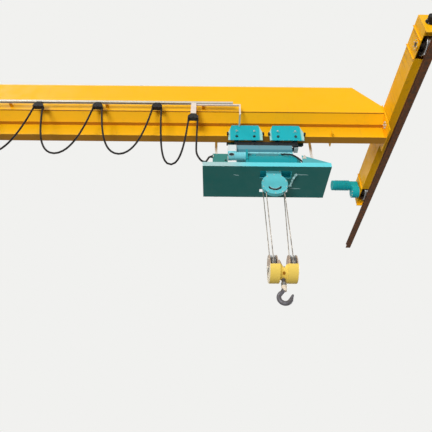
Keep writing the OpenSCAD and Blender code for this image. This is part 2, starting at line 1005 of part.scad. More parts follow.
// Flat bars from the trolleys' far plates down to the shield's far edge
module shield_hangers() {
    y = shield_y + shield_w / 2 + seat;
    t = 8;
    bar_x0 = 757;
    arm_z = girder_z + 245;
    arm_x = trolley_gap / 2 + cheek_l / 2 - 80;
    strap_z = runner_z + boss_r + 10;
    plate = cheek_y + cheek_t + seat;
    color(teal)
        for (way = [0, 1])
            translate([hoist_x, 0, 0])
                mirror([way, 0, 0]) {
                    block(
                        [bar_x0 - hanger_w / 2, y, shield_z + shield_t],
                        [bar_x0 + hanger_w / 2, y + t, arm_z + hanger_w]
                    );
                    block([arm_x, y, arm_z], [bar_x0, y + t, arm_z + hanger_w]);
                    block([arm_x, plate, arm_z], [arm_x + t, y + t, arm_z + hanger_w]);
                    block([arm_x - hanger_w, plate, strap_z], [arm_x + t, plate + t, arm_z + hanger_w]);
                }
}

// Cover of the fixed pulley, hanging under the drum on a neck
module pulley_cover() {
    half = cover_w / 2;
    wall = 8;
    slot = 16;
    slot_out = pulley_r - 9;
    slot_in = slot_out - 30;
    color(teal)
        translate([pulley_x, pulley_y, pulley_z])
            difference() {
                union() {
                    bar_y(-half, cover_w, cover_r);
                    block([-neck_w / 2, -half, 0], [neck_w / 2, half, drum_z - pad_drop - pulley_z]);
                }
                difference() {
                    bar_y(-half + wall, cover_w - 2 * wall, cover_r - wall);
                    bar_y(-half, cover_w, pulley_r - slot - 1);
                }
                for (x = [-pulley_r, pulley_r])
                    block([x - slot, -half + wall, -cover_r - eps], [x + slot, half - wall, 0]);
                intersection() {
                    difference() {
                        bar_y(-half - eps, 2 * wall + eps, slot_out);
                        bar_y(-half - 2 * eps, 2 * wall + 3 * eps, slot_in);
                    }
                    block([-88, -half - eps, -2 * cover_r], [88, 0, -slot_in / 2]);
                }
            }
}

module tow_arm() {
    bar = 24;
    arm_x = hoist_x - trolley_gap / 2 - 100;
    rail_side = shoe_w / 2 + shoe_side;
    y0 = -track_y - bar / 2;
    z1 = track_z - bridge_gap;
    color(galvanised) {
        translate([tow_x, -track_y, 0])
            track_carriage(tow_drop);
        block([tow_x + 39, y0, z1 - bar], [arm_x + bar, y0 + bar, z1]);
        block([arm_x, y0, cheek_top - bar], [arm_x + bar, y0 + bar, z1]);
        block([arm_x, y0, cheek_top - bar], [arm_x + bar, -cheek_y - cheek_t, cheek_top]);
    }
}

// Cable from the towing arm down to the hoist's control box
module hoist_cable() {
    start = 180 - left_angle - 5;
    down = [tow_x + arc_r, -track_y];
    goal = [panel_x - tube_gap, panel_y + 30, panel_top - 30];
    points = concat(
        beside_track(arc_points(tow_x, tow_z, start, 0)),
        [
            [down[0], down[1], tow_z - 200],
            [down[0], down[1], goal[2] + 60],
            [down[0] + 10, down[1] + 4, goal[2] - 80],
            [goal[0] - 185, goal[1] - 135, goal[2] - 165],
            [goal[0] - 145, goal[1] - 118, goal[2] - 202],
            [goal[0] - 100, goal[1] - 92, goal[2] - 190],
            [goal[0] - 75, goal[1] - 56, goal[2] - 120],
            [goal[0] - 55, goal[1] - 22, goal[2] - 40],
            [goal[0] - 32, goal[1] - 2, goal[2] - 4],
            [goal[0] - 12, goal[1], goal[2]],
            goal
        ]
    );
    color(dark)
        tube(points, cable_r, cable_sides);
}

// A straight rope between two points
module rope(a, b) {
    d = b - a;
    translate(a)
        rotate([0, acos(d[2] / norm(d)), atan2(d[1], d[0])])
            cylinder(h = norm(d), r = rope_r, $fn = 24);
}

module hoist_ropes() {
    low = block_z + seat;
    color(galvanised) {
        rope([rope_left, pitch_r, low], [wound_left, wound_r, drum_z]);
        rope([rope_left, -pitch_r, low], [pulley_x - pulley_r, pulley_y, pulley_z]);
        rope([rope_right, -pitch_r, low], [pulley_x + pulley_r, pulley_y, pulley_z]);
        rope([rope_right, pitch_r, low], [wound_right, wound_r, drum_z]);
    }
}

// Hook block
module rope_turns() {
    color(galvanised)
        for (x = [rope_left, rope_right])
            translate([x, 0, block_z])
                rotate([0, 90, 0])
                    rotate([0, 0, -90])
                        rotate_extrude(angle = 180)
                            translate([pitch_r, 0])
                                circle(r = rope_r, $fn = 24);
}

module sheave(x) {
    rim = sheave_w / 2;
    groove = rope_r + 0.5;
    bore = block_axle_d / 2 + pin_gap;
    hub = bore + 22;
    color(steel)
        translate([x, 0, block_z])
            rotate([0, 90, 0])
                rotate_extrude()
                    difference() {
                        polygon([
                            [bore, -rim - 8],
                            [hub, -rim - 8],
                            [hub, -8],
                            [pitch_r - 30, -8],
                            [pitch_r - 20, -rim + 4],
                            [sheave_r - 4, -rim],
                            [sheave_r, -rim + 4],
                            [pitch_r, -groove],
                            [pitch_r, groove],
                            [sheave_r, rim - 4],
                            [sheave_r - 4, rim],
                            [pitch_r - 20, rim - 4],
                            [pitch_r - 30, 8],
                            [hub, 8],
                            [hub, rim + 8],
                            [bore, rim + 8]
                        ]);
                        translate([pitch_r, 0])
                            circle(r = groove);
                    }
}

module sheave_left() sheave(rope_left);

module sheave_right() sheave(rope_right);

module block_axle() {
    reach = sheave_gap / 2 + guard_w / 2 + 16;
    color(steel)
        translate([block_x, 0, block_z])
            bar_x(-reach, 2 * reach, block_axle_d / 2);
}

// Cheeks and round covers of both sheaves, joined by the crosshead's waisted housing
module block_housing() {
    inner = sheave_gap / 2 - guard_w / 2;
    waist_r = 50;
    color(block_yellow)
        translate([block_x, 0, block_z])
            difference() {
                union() {
                    for (x = [-sheave_gap / 2, sheave_gap / 2])
                        translate([x, 0, 0])
                            difference() {
                                union() {
                                    bar_x(-guard_w / 2, guard_w, cheek_top_r);
                                    difference() {
                                        bar_x(-guard_w / 2, guard_w, guard_r);
                                        block([-guard_w, -2 * guard_r, guard_top], [guard_w, 2 * guard_r, 2 * guard_r]);
                                    }
                                }
                                bar_x(-guard_in / 2, guard_in, guard_r - guard_t);
                            }
                    difference() {
                        rotate([0, 90, 0])
                            rotate_extrude()
                                difference() {
                                    translate([0, -inner - eps])
                                        square([guard_r, 2 * (inner + eps)]);
                                    translate([guard_r + waist_r / 4, 0])
                                        circle(r = waist_r);
                                }
                        block([-inner - 2, -2 * guard_r, 5], [inner + 2, 2 * guard_r, 2 * guard_r]);
                        along_y(-2 * guard_r, 4 * guard_r)
                            polygon([[-0.85 * inner, 6], [0, 2 * guard_top + 10], [0.85 * inner, 6]]);
                    }
                }
                bar_x(-sheave_gap, 2 * sheave_gap, block_axle_d / 2 + pin_gap);
                translate([0, 0, -120])
                    cylinder(h = 70, r = 45);
                translate([0, 0, -2 * guard_r])
                    cylinder(h = 2 * guard_r - 100, r = 25 + tube_gap);
                translate([0, 0, 2 * guard_top - 36])
                    bar_y(-guard_r, guard_r - 60, 18);
            }
}

// Nut on the shank inside the housing, and the collar under it
module hook_nut() {
    color(steel)
        translate([block_x, 0, block_z])
            difference() {
                union() {
                    translate([0, 0, -120 + seat])
                        cylinder(h = 50, r = 40);
                    translate([0, 0, -250])
                        cylinder(h = 42, r = 33);
                }
                translate([0, 0, -300])
                    cylinder(h = 300, r = 24 + pin_gap);
            }
}

// Forged hook: the shank, a neck that swings back, the bowl and its point
module hook() {
    shank_r = 24;
    neck_r = 26;
    bar_r = hook_t / 2;
    r = hook_r + bar_r;
    start = 128;
    point = -25;
    lean = start - 90;
    neck_bend = -r * cos(start) / (1 - sin(lean));
    neck_top = r * sin(start) + neck_bend * cos(lean);
    lap = 2;
    color(dark)
        translate([block_x, 0, bowl_z]) {
            rotate([90, 0, 0])
                rotate([0, 0, start])
                    rotate_extrude(angle = 360 + point - start)
                        translate([r, 0])
                            circle(r = bar_r);
            translate([-neck_bend, 0, neck_top])
                rotate([90, 0, 0])
                    rotate([0, 0, lean - 90 - lap])
                        rotate_extrude(angle = 90 - lean + lap)
                            translate([neck_bend, 0])
                                circle(r = neck_r);
            translate([0, 0, neck_top - lap])
                cylinder(h = block_z - 75 - bowl_z - neck_top + lap, r = shank_r);
            translate([r * cos(point), 0, r * sin(point)])
                rotate([0, -point, 0]) {
                    translate([0, 0, -lap])
                        cylinder(h = 70 + lap, r1 = bar_r - 0.5, r2 = 14);
                    translate([0, 0, 68])
                        sphere(r = 14.5);
                }
        }
}

rail_left();
rail_right();
rolled_beam();
box_shell();
slanted_plates();
girder_end_plates();
end_carriage_left();
end_carriage_right();
carriage_buffers();
travel_drive_left();
travel_drive_right();
cable_track();
track_brackets();
cable_anchor();
trolley_stops();
festoon_cable();
wheel_left_near();
wheel_left_far();
wheel_right_near();
wheel_right_far();
trolley_left();
trolley_right();
trolley_buffers();
trolley_drive();
runners_1();
runners_2();
runners_3();
runners_4();
cross_beam();
drum_housing();
hoist_motor();
gearbox();
control_box();
heat_shield();
shield_hangers();
pulley_cover();
tow_arm();
hoist_cable();
hoist_ropes();
block_housing();
block_axle();
sheave_left();
sheave_right();
rope_turns();
hook();
hook_nut();
for (i = [1 : saddles]) saddle(i);
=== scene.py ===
import json
import math

import bmesh
import bpy
from bpy.props import FloatProperty, FloatVectorProperty, PointerProperty
from mathutils import Matrix, Vector


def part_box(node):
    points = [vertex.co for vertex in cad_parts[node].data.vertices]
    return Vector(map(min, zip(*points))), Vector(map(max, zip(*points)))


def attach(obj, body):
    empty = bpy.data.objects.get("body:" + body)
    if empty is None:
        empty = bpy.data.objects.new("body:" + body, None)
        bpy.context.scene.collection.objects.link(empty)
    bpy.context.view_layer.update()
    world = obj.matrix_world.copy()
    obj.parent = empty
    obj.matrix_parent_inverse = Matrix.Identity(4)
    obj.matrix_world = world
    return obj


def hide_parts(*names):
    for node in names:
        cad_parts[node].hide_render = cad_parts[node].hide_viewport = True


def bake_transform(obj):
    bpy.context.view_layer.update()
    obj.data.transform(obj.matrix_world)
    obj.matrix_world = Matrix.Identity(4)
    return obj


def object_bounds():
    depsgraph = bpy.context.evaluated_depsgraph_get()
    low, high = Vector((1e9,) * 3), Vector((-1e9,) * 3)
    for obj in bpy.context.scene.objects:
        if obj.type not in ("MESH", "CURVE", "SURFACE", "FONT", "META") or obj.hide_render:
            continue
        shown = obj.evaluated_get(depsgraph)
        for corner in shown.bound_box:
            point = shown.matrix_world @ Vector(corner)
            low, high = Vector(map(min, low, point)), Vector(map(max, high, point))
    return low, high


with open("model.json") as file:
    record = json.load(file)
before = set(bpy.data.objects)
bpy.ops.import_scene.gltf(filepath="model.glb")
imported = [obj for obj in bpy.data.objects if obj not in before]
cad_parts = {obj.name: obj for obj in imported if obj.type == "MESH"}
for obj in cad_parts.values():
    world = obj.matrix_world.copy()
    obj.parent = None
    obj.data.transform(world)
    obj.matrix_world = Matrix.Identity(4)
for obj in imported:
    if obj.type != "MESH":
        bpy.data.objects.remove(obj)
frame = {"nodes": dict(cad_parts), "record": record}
cad_box = [list(corner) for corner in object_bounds()]

bl_info = {
    "name": "Overhead Bridge Crane Dressing",
    "version": (1, 0, 0),
    "blender": (4, 5, 0),
    "location": "View3D > Sidebar > Crane",
    "description": "Paints the crane and adds its cable loops, wire ropes and fasteners",
    "category": "Object",
}

NODES = frame["nodes"]
X, Y, Z = Vector((1, 0, 0)), Vector((0, 1, 0)), Vector((0, 0, 1))
WHEELS = ("wheel_left_near", "wheel_left_far", "wheel_right_near", "wheel_right_far")
RUNNERS = ("runners_1", "runners_2", "runners_3", "runners_4")
SHEAVES = ("sheave_left", "sheave_right")

# Places that no solid's box gives, in metres
DRUM_AXIS_Z = -0.600
PULLEY_AXIS_Z = -1.050
MOTOR_AXIS_Y, MOTOR_AXIS_Z = -0.120, -0.470
TIE_BAR_Z = -0.147
GLAND_IN, GLAND_DOWN = 0.038, 0.030
SHOE_RISE = 0.018  # from a saddle's lower edge to the middle of its shoe


def linear(hex_colour):
    """Turns an sRGB hex value into the linear colour that Blender takes."""
    parts = [int(hex_colour[i : i + 2], 16) / 255 for i in (1, 3, 5)]
    return tuple(p / 12.92 if p <= 0.04045 else ((p + 0.055) / 1.055) ** 2.4 for p in parts)


def paint_colour(name, words, hex_colour):
    """A colour that the user may change."""
    return FloatVectorProperty(
        name=name, description=words, size=3, subtype="COLOR", min=0, max=1, default=linear(hex_colour)
    )


def length(name, words, metres):
    """A length that the user may change."""
    return FloatProperty(name=name, description=words, unit="LENGTH", min=0, default=metres)


class CranePaints(bpy.types.PropertyGroup):
    """Colours of the crane's finishes"""

    girder: paint_colour("Girder", "Yellow enamel of the girder and the end carriages", "#ffbe0a")
    block: paint_colour("Hook block", "Yellow enamel of the hook block", "#ffdc68")
    hoist: paint_colour("Hoist", "Teal enamel of the trolleys, drum housing and drives", "#12b2bc")
    shield: paint_colour("Shield", "Lighter teal enamel of the shield's edges", "#6adce5")
    # Painted shade: this dark green goes on the shield's faces that look down
    under: paint_colour("Shield's underside", "Dark green coat under the shield", "#22706b")
    cover: paint_colour("Pulley cover", "Lighter teal enamel of the pulley cover", "#62c8d0")
    panel: paint_colour("Control box", "Green enamel of the control box", "#3b847c")
    zinc: paint_colour("Zinc", "Galvanised track and brackets", "#d3cfc2")
    rope: paint_colour("Wire rope", "Greased wires of the hoist rope", "#c9c0b4")


class CraneSizes(bpy.types.PropertyGroup):
    """Sizes of what the dressing adds"""

    loop_length: length("Loop length", "Cable between one saddle and the next", 2.24)
    cable_width: length("Cable width", "Diameter of the cable in the loops", 0.028)
    rope_width: length("Rope width", "Diameter of the hoist rope", 0.014)
    floor_drop: length("Floor depth", "Depth of the floor, which the hook at its lowest clears", 8.15)


# Shader nodes

SMOOTH = {"interpolation_type": "SMOOTHSTEP"}
MULTIPLY = {"operation": "MULTIPLY"}
COLOURS = {"out": 2, "data_type": "RGBA"}


def fill(tree, node, sockets):
    """Gives a node's sockets, by name or in order, their links or values."""
    for key, value in sockets.items() if isinstance(sockets, dict) else enumerate(sockets):
        socket = node.inputs[key]
        if isinstance(value, bpy.types.NodeSocket):
            tree.links.new(value, socket)
        else:
            socket.default_value = (*value, 1.0) if socket.type == "RGBA" else value


def add(tree, kind, sockets=(), out=0, **settings):
    """Adds a node, sets its properties, fills its sockets and returns one of its outputs."""
    made = tree.nodes.new("ShaderNode" + kind)
    for key, value in settings.items():
        setattr(made, key, value)
    fill(tree, made, sockets)
    return made.outputs[out] if made.outputs else made


def start_material(name, surface):
    """A material with one shader, whose constants stand on its own sockets."""
    material = bpy.data.materials.new(name)
    material.use_nodes = True
    tree = material.node_tree
    tree.nodes.clear()
    shader = add(tree, "BsdfPrincipled", surface)
    add(tree, "OutputMaterial", {"Surface": shader})
    return material, tree, shader.node, add(tree, "TexCoord", out="Object")


def clouds(tree, place, size, detail=3.0, stretch=(1, 1, 1)):
    """Cloudy pattern with patches of the given size in metres, drawn out along the stretched axes."""
    mapped = add(tree, "Mapping", {"Vector": place, "Scale": [1 / (size * s) for s in stretch]})
    return add(tree, "TexNoise", {"Vector": mapped, "Scale": 1.0, "Detail": detail})


def edge_wear(tree, radius):
    """1 along the sharp edges, where a coat wears through first."""
    rounded = add(tree, "Bevel", {"Radius": radius}, samples=4)
    flat = add(tree, "NewGeometry", out="Normal")
    alike = add(tree, "VectorMath", [rounded, flat], out="Value", operation="DOT_PRODUCT")
    return add(tree, "MapRange", [alike, 0.995, 0.90], **SMOOTH)


def facing(tree, way):
    """1 on faces that look up, where dust settles, or down where way is -1, where shade is painted."""
    upward = add(tree, "SeparateXYZ", [add(tree, "NewGeometry", out="Normal")], out=2)
    turned = add(tree, "Math", [upward, float(way)], **MULTIPLY)
    return add(tree, "MapRange", [turned, 0.4, 0.9], **SMOOTH)


ALONG, ACROSS, UP = 0, 1, 2


def zone(axis, edge, colour, way=1, soft=0.001):
    """The part of a surface past a plane across an axis, which takes a colour apart from the coat's: some
    zones are the thing's own colours and some are painted light and shade. It is the part before the plane
    where way is -1."""
    return axis, edge, linear(colour), way, soft


def paint_zone(tree, place, coat, part):
    """Lays a zone's colour over a coat."""
    axis, edge, colour, way, soft = part
    along = add(tree, "SeparateXYZ", [place], out=axis)
    share = add(tree, "MapRange", [along, edge - way * soft, edge + way * soft], **SMOOTH)
    return add(tree, "Mix", {0: share, 6: coat, 7: colour}, **COLOURS)


def seen_direct(tree):
    """1 where the camera sees a surface direct, in a reflection or through a clear pane."""
    rays = add(tree, "LightPath").node.outputs
    seen = add(tree, "Math", [rays["Is Camera Ray"], rays["Is Glossy Ray"]], operation="ADD")
    return add(tree, "Math", [seen, rays["Is Transmission Ray"]], operation="ADD", use_clamp=True)


# Materials

STEEL_AND_RUST = ("#8d8a84", "#6b3a20")
# Pale primer for knocked edges; on the trolleys its strong chips are also a painted highlight
PALE_PRIMER_AND_HIGHLIGHT = ("#b9dddb", "#6f8f8f")


def enamel(
    name, colour, soil=0.35, chips=0.6, roughness=0.46, under=None, zones=(), bare=STEEL_AND_RUST, wear=0.007
):
    """Two-pack enamel sprayed on steel plate: an even semi-gloss coat with a faint orange peel. Soil
    runs down it in streaks, a little dust lies on its upper faces, and bare steel and rust show where
    the edges are knocked. The peel is 3 mm on the real coat and is drawn at 12 mm, so that it shows.
    Faces that look down may take a darker colour, which is painted shade. Some zones of the surface have
    colours of the coat's own, and some are painted light and shade."""
    material, tree, shader, place = start_material(name, {"IOR": 1.5, "Specular IOR Level": 0.22})
    tone = add(tree, "MapRange", [clouds(tree, place, 0.9, 4.0), 0.3, 0.7, 0.0, 0.08], **SMOOTH)
    coat = add(tree, "Mix", {0: tone, 6: colour, 7: [c * 0.72 for c in colour]}, **COLOURS)
    for part in zones:
        coat = paint_zone(tree, place, coat, part)
    # Painted shade: faces that look down take the darker colour given as under
    if under:
        coat = add(tree, "Mix", {0: facing(tree, -1), 6: coat, 7: under}, **COLOURS)
    run_down = clouds(tree, place, 0.05, 4.0, (1, 1, 14))
    streaks = add(tree, "MapRange", [run_down, 0.52, 0.78, 0.0, soil], **SMOOTH)
    patches = add(tree, "MapRange", [clouds(tree, place, 0.45), 0.35, 0.7], **SMOOTH)
    grime = add(tree, "Math", [streaks, patches], **MULTIPLY)
    soiled = add(tree, "Mix", {0: grime, 6: coat, 7: linear("#6b5a44")}, **COLOURS)
    settled = add(tree, "Math", [facing(tree, 1), patches], **MULTIPLY)
    dust = add(tree, "Math", [settled, 0.4], **MULTIPLY)
    dusty = add(tree, "Mix", {0: dust, 6: soiled, 7: linear("#9a8f7d")}, **COLOURS)
    knocks = add(tree, "MapRange", [clouds(tree, place, 0.03, 4.0), 0.50, 0.62, 0.0, chips], **SMOOTH)
    worn = add(tree, "Math", [edge_wear(tree, wear), knocks], **MULTIPLY)
    rust = add(tree, "MapRange", [clouds(tree, place, 0.012, 2.0), 0.45, 0.6], **SMOOTH)
    metal = add(tree, "Mix", {0: rust, 6: linear(bare[0]), 7: linear(bare[1])}, **COLOURS)
    finish = add(tree, "Mix", {0: worn, 6: dusty, 7: metal}, **COLOURS)
    sheen = [clouds(tree, place, 0.2, 4.0), 0.3, 0.7, roughness - 0.06, roughness + 0.14]
    rough = add(tree, "MapRange", sheen, **SMOOTH)
    peel = add(tree, "Bump", {"Height": clouds(tree, place, 0.012, 2.0), "Distance": 0.0006})
    fill(tree, shader, {"Base Color": finish, "Roughness": rough, "Normal": peel})
    return material


def galvanised(name, colour, zones=()):
    """Hot-dip zinc on steel: a dull pale coat with spangles, which are 10 mm across, and white bloom.
    Zones of it may have a colour of their own."""
    material, tree, shader, place = start_material(name, {"Metallic": 0.3})
    spangle = add(tree, "TexVoronoi", {"Vector": place, "Scale": 100.0}, out="Color")
    grain = add(tree, "SeparateColor", [spangle])
    dark = add(tree, "MapRange", [grain, 0, 1, 0, 0.45], **SMOOTH)
    shade = add(tree, "Mix", {0: dark, 6: colour, 7: [c * 0.6 for c in colour]}, **COLOURS)
    bloom = add(tree, "MapRange", [clouds(tree, place, 0.15, 4.0), 0.5, 0.75, 0.0, 0.5], **SMOOTH)
    coat = add(tree, "Mix", {0: bloom, 6: shade, 7: linear("#d9d8d2")}, **COLOURS)
    for part in zones:
        coat = paint_zone(tree, place, coat, part)
    rough = add(tree, "MapRange", [grain, 0, 1, 0.38, 0.62], **SMOOTH)
    fill(tree, shader, {"Base Color": coat, "Roughness": rough})
    return material


def rubber(name, hex_colour="#120d0b"):
    """Black rubber, moulded: matte, with chalky dust in patches and a fine grain."""
    surface = {"IOR": 1.5, "Specular IOR Level": 0.25, "Sheen Weight": 0.05}
    material, tree, shader, place = start_material(name, surface)
    dust = add(tree, "MapRange", [clouds(tree, place, 0.06, 4.0), 0.45, 0.75, 0.0, 0.2], **SMOOTH)
    coat = add(tree, "Mix", {0: dust, 6: linear(hex_colour), 7: linear("#4a3d33")}, **COLOURS)
    rough = add(tree, "MapRange", [dust, 0, 0.2, 0.6, 0.85], **SMOOTH)
    grain = add(tree, "Bump", {"Height": clouds(tree, place, 0.006, 2.0), "Distance": 0.0003})
    fill(tree, shader, {"Base Color": coat, "Roughness": rough, "Normal": grain})
    return material


def wire(name, colour):
    """Drawn steel wires with grease smeared over them in patches: bright crowns, brown dirt."""
    material, tree, shader, place = start_material(name, {"Metallic": 0.55})
    smears = clouds(tree, place, 0.02, 4.0, (1, 1, 3))
    grease = add(tree, "MapRange", [smears, 0.4, 0.7, 0.0, 0.75], **SMOOTH)
    coat = add(tree, "Mix", {0: grease, 6: colour, 7: linear("#54483b")}, **COLOURS)
    rough = add(tree, "MapRange", [grease, 0, 0.75, 0.35, 0.6], **SMOOTH)
    lines = clouds(tree, place, 0.003, 1.0, (1, 1, 4))
    wires = add(tree, "Bump", {"Height": lines, "Distance": 0.0004})
    fill(tree, shader, {"Base Color": coat, "Roughness": rough, "Normal": wires})
    return material


def forged(name):
    """Drop-forged steel: grey scale with a soft shine, shallow pits and bright rubs."""
    material, tree, shader, place = start_material(name, {"Metallic": 0.3})
    scale = add(tree, "MapRange", [clouds(tree, place, 0.04, 5.0), 0.35, 0.7], **SMOOTH)
    skin = add(tree, "Mix", {0: scale, 6: linear("#66646b"), 7: linear("#54504f")}, **COLOURS)
    knocks = add(tree, "MapRange", [clouds(tree, place, 0.02), 0.4, 0.6], **SMOOTH)
    rub = add(tree, "Math", [edge_wear(tree, 0.01), knocks], **MULTIPLY)
    coat = add(tree, "Mix", {0: rub, 6: skin, 7: linear("#8e8f92")}, **COLOURS)
    rough = add(tree, "MapRange", [scale, 0, 1, 0.38, 0.6], **SMOOTH)
    pits = add(tree, "Bump", {"Height": clouds(tree, place, 0.010, 4.0), "Distance": 0.0008})
    fill(tree, shader, {"Base Color": coat, "Roughness": rough, "Normal": pits})
    return material


def machined(name, hex_colour="#9b9da1"):
    """Turned steel: a smooth grey with an oily film in patches and rust specks."""
    material, tree, shader, place = start_material(name, {"Metallic": 0.9})
    film = add(tree, "MapRange", [clouds(tree, place, 0.05, 4.0), 0.4, 0.7, 0.0, 0.6], **SMOOTH)
    oily = add(tree, "Mix", {0: film, 6: linear(hex_colour), 7: linear("#4d4a45")}, **COLOURS)
    specks = add(tree, "MapRange", [clouds(tree, place, 0.008, 2.0), 0.62, 0.7, 0.0, 0.6], **SMOOTH)
    coat = add(tree, "Mix", {0: specks, 6: oily, 7: linear("#6e4228")}, **COLOURS)
    rough = add(tree, "MapRange", [film, 0, 0.6, 0.28, 0.5], **SMOOTH)
    fill(tree, shader, {"Base Color": coat, "Roughness": rough})
    return material


def running_steel(name, centre, axis, tread, body=("#5d554c", "#3b3631")):
    """Cast steel wheel: oily grey-brown web, and a tread that running keeps bright. The distance
    from the wheel's axis tells the two apart."""
    material, tree, shader, place = start_material(name, {"Metallic": 0.8})
    across = [0.0 if axis[i] else 1.0 for i in range(3)]
    arm = add(tree, "VectorMath", [place, centre], operation="SUBTRACT")
    arm = add(tree, "VectorMath", [arm, across], **MULTIPLY)
    far = add(tree, "VectorMath", [arm], out="Value", operation="LENGTH")
    bright = add(tree, "MapRange", [far, tread - 0.004, tread - 0.001], **SMOOTH)
    film = add(tree, "MapRange", [clouds(tree, place, 0.06, 4.0), 0.35, 0.7], **SMOOTH)
    web = add(tree, "Mix", {0: film, 6: linear(body[0]), 7: linear(body[1])}, **COLOURS)
    coat = add(tree, "Mix", {0: bright, 6: web, 7: linear("#a9abad")}, **COLOURS)
    rough = add(tree, "MapRange", [bright, 0, 1, 0.6, 0.27], **SMOOTH)
    skin = add(tree, "Bump", {"Height": clouds(tree, place, 0.008), "Distance": 0.0005})
    fill(tree, shader, {"Base Color": coat, "Roughness": rough, "Normal": skin})
    return material


def rail_steel(name, head_z):
    """Rolled rail: brown rust and scale on its sides and foot, a bright head where the wheels run."""
    material, tree, shader, place = start_material(name, {"Metallic": 0.6})
    height = add(tree, "SeparateXYZ", [place], out=2)
    bright = add(tree, "MapRange", [height, head_z - 0.004, head_z - 0.001], **SMOOTH)
    rust = add(tree, "MapRange", [clouds(tree, place, 0.05, 5.0), 0.35, 0.68], **SMOOTH)
    side = add(tree, "Mix", {0: rust, 6: linear("#5a4334"), 7: linear("#7a4c2e")}, **COLOURS)
    coat = add(tree, "Mix", {0: bright, 6: side, 7: linear("#b3b4b5")}, **COLOURS)
    rough = add(tree, "MapRange", [bright, 0, 1, 0.8, 0.3], **SMOOTH)
    scale = add(tree, "Bump", {"Height": clouds(tree, place, 0.006, 4.0), "Distance": 0.0006})
    fill(tree, shader, {"Base Color": coat, "Roughness": rough, "Normal": scale})
    return material


def concrete(name):
    """Float-finished concrete: pale and matte with faint clouds. Seen direct or in a reflection it
    is at its full paleness, and it throws less light up, so that undersides stay in shade. The front
    light comes from below it and passes through."""
    material, tree, shader, place = start_material(name, {"Roughness": 0.9, "Specular IOR Level": 0.2})
    cloud = add(tree, "MapRange", [clouds(tree, place, 2.5, 5.0), 0.3, 0.7], **SMOOTH)
    pale = add(tree, "Mix", {0: cloud, 6: linear("#efeeec"), 7: linear("#e8e7e4")}, **COLOURS)
    seen = seen_direct(tree)
    shown = add(tree, "Mix", {0: seen, 6: linear("#8b8a88"), 7: pale}, **COLOURS)
    glow = add(tree, "Math", [seen, 0.24], **MULTIPLY)
    fill(tree, shader, {"Base Color": shown, "Emission Color": linear("#efeeec"), "Emission Strength": glow})
    shadow = add(tree, "LightPath", out="Is Shadow Ray")
    through = add(tree, "MixShader", [shadow, shader.outputs[0], add(tree, "BsdfTransparent")])
    output = next(n for n in tree.nodes if n.type == "OUTPUT_MATERIAL")
    fill(tree, output, {"Surface": through})
    return material


# Shapes


def put(name, mesh, material, body, turn=40):
    """Makes a mesh a piece of the crane: smooth, painted, and riding on its body."""
    mesh.name = name
    mesh.shade_smooth()
    mesh.set_sharp_from_angle(angle=math.radians(turn))
    mesh.materials.clear()
    mesh.materials.append(material)
    shape = bpy.data.objects.new(name, mesh)
    bpy.context.scene.collection.objects.link(shape)
    if body:
        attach(shape, body)
    return shape


def finished(bm):
    """Closes a bmesh and turns its faces outwards."""
    bmesh.ops.remove_doubles(bm, verts=bm.verts, dist=1e-6)
    bmesh.ops.recalc_face_normals(bm, faces=bm.faces)
    mesh = bpy.data.meshes.new("shape")
    bm.to_mesh(mesh)
    bm.free()
    return mesh


def aimed(at, axis):
    """A place whose Z axis points along the given axis."""
    return Matrix.Translation(at) @ Vector(axis).to_track_quat("Z", "Y").to_matrix().to_4x4()


def round_bars(runs, radius, resolution=2):
    """Round bars along runs of points, with closed ends."""
    curve = bpy.data.curves.new("bar", "CURVE")
    curve.dimensions = "3D"
    curve.bevel_depth = radius
    curve.bevel_resolution = resolution
    curve.use_fill_caps = True
    for run in runs:
        spline = curve.splines.new("POLY")
        spline.points.add(len(run) - 1)
        for point, at in zip(spline.points, run):
            point.co = (*at, 1.0)
    holder = bpy.data.objects.new("bar", curve)
    bpy.context.scene.collection.objects.link(holder)
    bpy.context.view_layer.update()
    mesh = bpy.data.meshes.new_from_object(holder.evaluated_get(bpy.context.evaluated_depsgraph_get()))
    bpy.data.objects.remove(holder)
    bpy.data.curves.remove(curve)
    bm = bmesh.new()
    bm.from_mesh(mesh)
    bpy.data.meshes.remove(mesh)
    return finished(bm)


def smooth_path(points, step):
    """A smooth curve through points, with a point about every step."""
    points = [Vector(p) for p in points]
    path = []
    for i in range(len(points) - 1):
        before, a, b = points[max(i - 1, 0)], points[i], points[i + 1]
        after = points[min(i + 2, len(points) - 1)]
        count = max(2, round((b - a).length / step))
        for k in range(count):
            t = k / count
            path.append(
                0.5
                * (
                    2 * a
                    + (b - before) * t
                    + (2 * before - 5 * a + 4 * b - after) * t * t
                    + (3 * a - before - 3 * b + after) * t**3
                )
            )
    return path + [points[-1]]


def stranded(path, radius, lay, strands=6):
    """Strands wound round a path, one turn in each lay, as separate runs of points."""
    strand = radius / 2.9
    reach = radius - strand
    runs = [[] for _ in range(strands)]
    travelled = 0.0
    side = None
    for i, at in enumerate(path):
        ahead = (path[min(i + 1, len(path) - 1)] - path[max(i - 1, 0)]).normalized()
        side = ahead.orthogonal() if side is None else side - ahead * side.dot(ahead)
        side = side.normalized()
        up = ahead.cross(side)
        if i:
            travelled += (at - path[i - 1]).length
        for s in range(strands):
            turn = math.tau * (travelled / lay + s / strands)
            runs[s].append(at + side * reach * math.cos(turn) + up * reach * math.sin(turn))
    return runs, strand


def disc(bm, there, low, high, reach, narrow=0.97, sides=24):
    """A short cone on a place, between two heights over it."""
    bmesh.ops.create_cone(
        bm,
        cap_ends=True,
        segments=sides,
        radius1=reach,
        radius2=reach * narrow,
        depth=high - low,
        matrix=there @ Matrix.Translation((0, 0, (low + high) / 2)),
    )


def hex_bolts(places, size):
    """Bolt heads on washers. Each place is a point on the plate and the way out of it."""
    bm = bmesh.new()
    for at, out in places:
        there = aimed(at, out)
        disc(bm, there, 0, size * 0.2, size * 1.05, sides=20)
        disc(bm, there, size * 0.2, size * 0.85, size * 0.9, 0.93, 6)
        disc(bm, there, size * 0.85, size * 1.15, size * 0.45, sides=12)
    return finished(bm)


